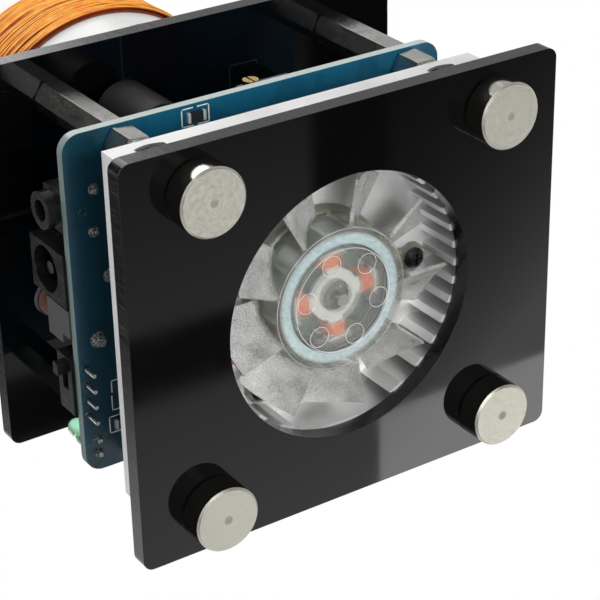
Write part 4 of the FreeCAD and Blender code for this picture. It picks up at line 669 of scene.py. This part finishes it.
def hub_lines():
    """The fine raised rings on the face of the hub, white as painted highlight, and the ribs inside
    its wall.
    """
    mesh = bmesh.new()
    for k in range(6):
        centre = polar(6.8, math.radians(12.0 + 60.0 * k), 7.2)
        sweep(mesh, circle(centre, 1.7, 40), 0.05, 6, True)
    for radius, z in ((8.72, 7.2), (11.85, 7.75)):
        sweep(mesh, circle(Vector((0, 0, z)), radius, 120), 0.055, 6, True)
    # Painted highlight: the rings are white, where the clear hub's edges catch light.
    piece("hub_ring_lines", mesh, "print_and_highlight_white", body="fan_rotor")
    mesh = sweep(bmesh.new(), circle(Vector((0, 0, 8.16)), 8.95, 120), 0.11, 6, True)
    piece("hub_dark_line", mesh, "lead_black", body="fan_rotor")
    mesh = bmesh.new()
    outline = ((11.9, -0.38), (12.2, -0.38), (12.32, -0.26), (12.32, 0.26), (12.2, 0.38),
               (11.9, 0.38))
    for k in range(18):
        turn = Matrix.Rotation(math.radians(17.5 + 20.0 * k), 3, "Z")
        skin(mesh, [[turn @ Vector((a, b, z)) for a, b in outline] for z in (8.0, 13.3)])
    piece("hub_ribs", mesh, "base_green_clear", body="fan_rotor", smooth=False)


secondary()
primary()
fan_coils()
choke_wire()
hub_lines()


# ---------------------------------------------------------------- board print

# Heights between which the print lies; each time one of the two is inside the board
INK_UNDER = (27.075, 27.11)
RINGS_UNDER = (27.06, 27.11)
INK_OVER = (28.69, 28.73)


def ribbon(mesh, points, width, heights):
    """A flat printed line through points."""
    flat = [Vector(p[:2]) for p in points]
    for a, b in zip(flat, flat[1:]):
        more = (b - a).normalized() * width / 2
        side = Vector((-more.y, more.x))
        corners = (a - more + side, a - more - side, b + more - side, b + more + side)
        skin(mesh, [[(c.x, c.y, z) for c in corners] for z in heights])


def ring_line(mesh, x, y, radius, width, heights):
    loop = circle(Vector((x, y, 0.0)), radius, 32)
    ribbon(mesh, loop + loop[:1], width, heights)


def board_print():
    under = bmesh.new()
    brackets = [[(x + way * near, y - 1.45), (x + way * far, y - 1.45), (x + way * far, y + 1.45),
                 (x + way * near, y + 1.45)]
                for x, y in ((-13.3, -27.47), (-29.3, 21.18))
                for way, near, far in ((-1, 0.45, 2.4), (1, 0.45, 2.4))]
    brackets += [[(-29.4, 13.3), (-30.9, 13.3), (-30.9, 15.3)],
                 [(-31.0, 16.0), (-31.0, 18.6), (-29.5, 18.6)]]
    for line in brackets:
        ribbon(under, line, 0.2, INK_UNDER)
    piece("board_ink_under", under, "board_ink", smooth=False)
    pads = bmesh.new()
    for x, y in ((-33.6, -16.7), (-35.2, 9.7), (-35.2, 12.55), (-35.2, 15.4), (-35.2, 18.2)):
        ring_line(pads, x, y, 0.62, 0.16, RINGS_UNDER)
    piece("board_pad_rings", pads, "print_and_highlight_white", smooth=False)
    over = bmesh.new()
    frames = ((-35.0, -24.0, -20.3, -12.9), (-35.0, -22.2, -10.0, -0.2), (-35.5, -32.2, 8.0, 18.8),
              (-2.5, 8.0, -28.1, -17.1), (19.1, 24.9, -14.6, -3.4), (19.1, 24.9, 3.4, 14.6),
              (-36.0, -29.8, -0.15, 6.8))
    for x0, x1, y0, y1 in frames:
        ribbon(over, [(x0, y0), (x1, y0), (x1, y1), (x0, y1), (x0, y0)], 0.18, INK_OVER)
    ring_line(over, -16.3, -23.4, 5.35, 0.18, INK_OVER)
    ring_line(over, -34.0, 24.2, 2.1, 0.18, INK_OVER)
    piece("board_ink_over", over, "board_ink", smooth=False)


board_print()


# ---------------------------------------------------------------- light, floor and camera


def world():
    """White to the camera; in mirrors, a studio with one barred window far below the object."""
    made = bpy.data.worlds.new("studio")
    bpy.context.scene.world = made
    made.use_nodes = True
    made.node_tree.nodes.clear()
    net = Net(made.node_tree)
    path = net.node("ShaderNodeLightPath")
    split = net.node("ShaderNodeSeparateXYZ")
    net.feed(split.inputs[0], net.out(net.node("ShaderNodeTexCoord"), "Generated"))
    x, y, z = (net.out(split, k) for k in range(3))

    def step(value, low, high, out_low=0.0, out_high=1.0):
        return net.band(value, low, high, out_low, out_high, interpolation_type="SMOOTHSTEP")

    def least(a, b):
        return net.math("MINIMUM", a, b)

    def most(a, b):
        return net.math("MAXIMUM", a, b)

    def grey(value):
        """A background of one grey tone."""
        back = net.node("ShaderNodeBackground")
        back.inputs["Strength"].default_value = 1.0
        tone = net.node("ShaderNodeCombineColor")
        for socket in tone.inputs[:3]:
            net.feed(socket, value)
        net.feed(back.inputs["Color"], net.out(tone))
        return net.out(back)

    fill = grey(step(x, -0.75, 0.1, 0.3, 1.0) * step(z, -0.2, 0.3, 0.5, 1.0))

    # Where a ray that goes down meets a level sheet one unit below
    depth = most(z * -1.0, 0.05)
    u, v = x / depth, y / depth
    near = (v - 0.51) * 2.0 + 0.22
    far = least(net.math("POWER", 2.718, u * 7.0 + v * 9.9 - 12.84), 1.0)
    panel = least(net.mixed(step(u, 0.69, 0.73), near, far), 1.0)
    upright_bar = step(u, 0.655, 0.668) * step(u, 0.73, 0.715) * step(v, 0.62, 0.56)
    level_bar = step(v, 0.61, 0.62) * step(v, 0.675, 0.655) * step(u, 0.62, 0.59)
    inside = most(panel * (1.0 - most(upright_bar, level_bar) * 0.93), 0.02)
    outside = step(net.root_of_squares(u, v), 0.75, 0.45, 0.12, 1.0)
    window = (step(u, 0.34, 0.42) * step(u, 1.04, 0.96) *
              (step(v, 0.34, 0.42) * step(v, 1.0, 0.93)))
    lower = net.mixed(window, outside, inside)

    # What upright faces mirror: a dark part beyond the jacks, and a dimmer back
    leftward = step(x, -0.1, -0.3) * step(z, 0.1, 0.4)
    upper = net.mixed(leftward, 1.0, step(y, 0.485, 0.565, 0.05, 1.0))
    upper = upper * (1.0 - step(y, 0.0, -0.25) * 0.42)
    studio = net.mixed(step(z, -0.35, -0.45), upper, lower)

    seen = grey(net.mixed(net.out(path, "Is Glossy Ray"), 1.0, studio))
    shown = most(net.out(path, "Is Camera Ray"),
                 most(net.out(path, "Is Glossy Ray"), net.out(path, "Is Transmission Ray")))
    mix = net.node("ShaderNodeMixShader")
    for socket, source in zip(mix.inputs, (shown, fill, seen)):
        net.feed(socket, source)
    net.feed(net.node("ShaderNodeOutputWorld").inputs["Surface"], net.out(mix))


def softbox(name, place, aim, size, watts):
    """A rectangle of light that looks at aim, or straight up if there is none."""
    data = bpy.data.lights.new(name, "AREA")
    data.shape = "RECTANGLE"
    data.size, data.size_y = size
    data.energy = watts
    lamp = bpy.data.objects.new(name, data)
    bpy.context.scene.collection.objects.link(lamp)
    lamp.location = place
    lamp.rotation_mode = "QUATERNION"
    if aim is None:
        lamp.rotation_quaternion = (0.0, 1.0, 0.0, 0.0)
    else:
        lamp.rotation_quaternion = (Vector(aim) - Vector(place)).to_track_quat("-Z", "Y")


def floor():
    """Pale paper that the camera sees from above only, so that it doesn't hide the feet."""
    made = bpy.data.meshes.new("floor")
    mesh = bmesh.new()
    bmesh.ops.create_grid(mesh, x_segments=2, y_segments=2, size=1.5)
    mesh.to_mesh(made)
    mesh.free()
    sheet = bpy.data.objects.new("floor", made)
    bpy.context.scene.collection.objects.link(sheet)
    m = Look("floor_paper", (0.82, 0.82, 0.82), 0.7)
    m.color(m.blend(m.noise(40.0, 3.0), (0.80, 0.80, 0.80), (0.84, 0.84, 0.84)))
    seen = m.out(m.node("ShaderNodeLightPath"), "Is Camera Ray")
    front = 1.0 - m.out(m.node("ShaderNodeNewGeometry"), "Backfacing")
    mix = m.node("ShaderNodeMixShader")
    for socket, source in zip(mix.inputs, (seen * front, m.out(m.node("ShaderNodeBsdfTransparent")),
                                           m.out(m.shader))):
        m.feed(socket, source)
    m.feed(m.tree.nodes["Material Output"].inputs["Surface"], m.out(mix))
    made.materials.append(m.mat)
    for ray in ("visible_diffuse", "visible_glossy", "visible_transmission", "visible_shadow"):
        setattr(sheet, ray, False)


def camera():
    """The photo's view, with its focal length and optical centre in pixels."""
    image, focal, centre_x, centre_y = 600, 2022.60, 304.545, 296.264
    data = bpy.data.cameras.new("camera")
    data.sensor_width = 36.0
    data.lens = data.sensor_width * focal / image
    data.shift_x = (image / 2 - centre_x) / image
    data.shift_y = (centre_y - image / 2) / image
    data.clip_start = 0.01
    eye = bpy.data.objects.new("camera", data)
    bpy.context.scene.collection.objects.link(eye)
    right = Vector((0.8312555, 0.0197179, -0.5555407))
    down = Vector((-0.2719332, 0.8860551, -0.3754447))
    ahead = Vector((0.4848367, 0.4631604, 0.7419001))
    turn = Matrix((right, -down, -ahead)).transposed()
    eye.matrix_world = Matrix.Translation((-0.1565094, -0.1456067, -0.2213536)) @ turn.to_4x4()
    bpy.context.scene.camera = eye


world()
softbox("lamp_top", (0.10, -0.75, 0.30), (0, 0, 0.06), (0.7, 0.5), 0.4)
softbox("lamp_above", (0.05, -0.40, 0.95), (0, 0, 0.05), (0.7, 0.7), 3.2)
softbox("lamp_side", (-0.50, -0.70, 0.35), (0, 0, 0.09), (0.4, 0.4), 3.4)
softbox("lamp_left", (-0.62, 0.12, 0.50), (-0.03, 0.0, 0.03), (0.35, 0.35), 0.7)
softbox("lamp_low_corner", (0.687, 0.716, -0.60), None, (0.50, 0.50), 1.8)
softbox("lamp_low_right", (0.82, 0.20, -0.60), None, (0.40, 0.42), 0.4)
softbox("lamp_low_front", (0.20, 0.79, -0.60), None, (0.42, 0.40), 0.4)
softbox("lamp_low_middle", (-0.18, -0.10, -0.60), (0, 0, 0.02), (0.28, 0.28), 2.4)
softbox("lamp_low_back", (0.02, -0.27, -0.60), (0, 0, 0.02), (0.20, 0.20), 2.4)
floor()
camera()
bpy.context.scene.view_settings.view_transform = "Standard"
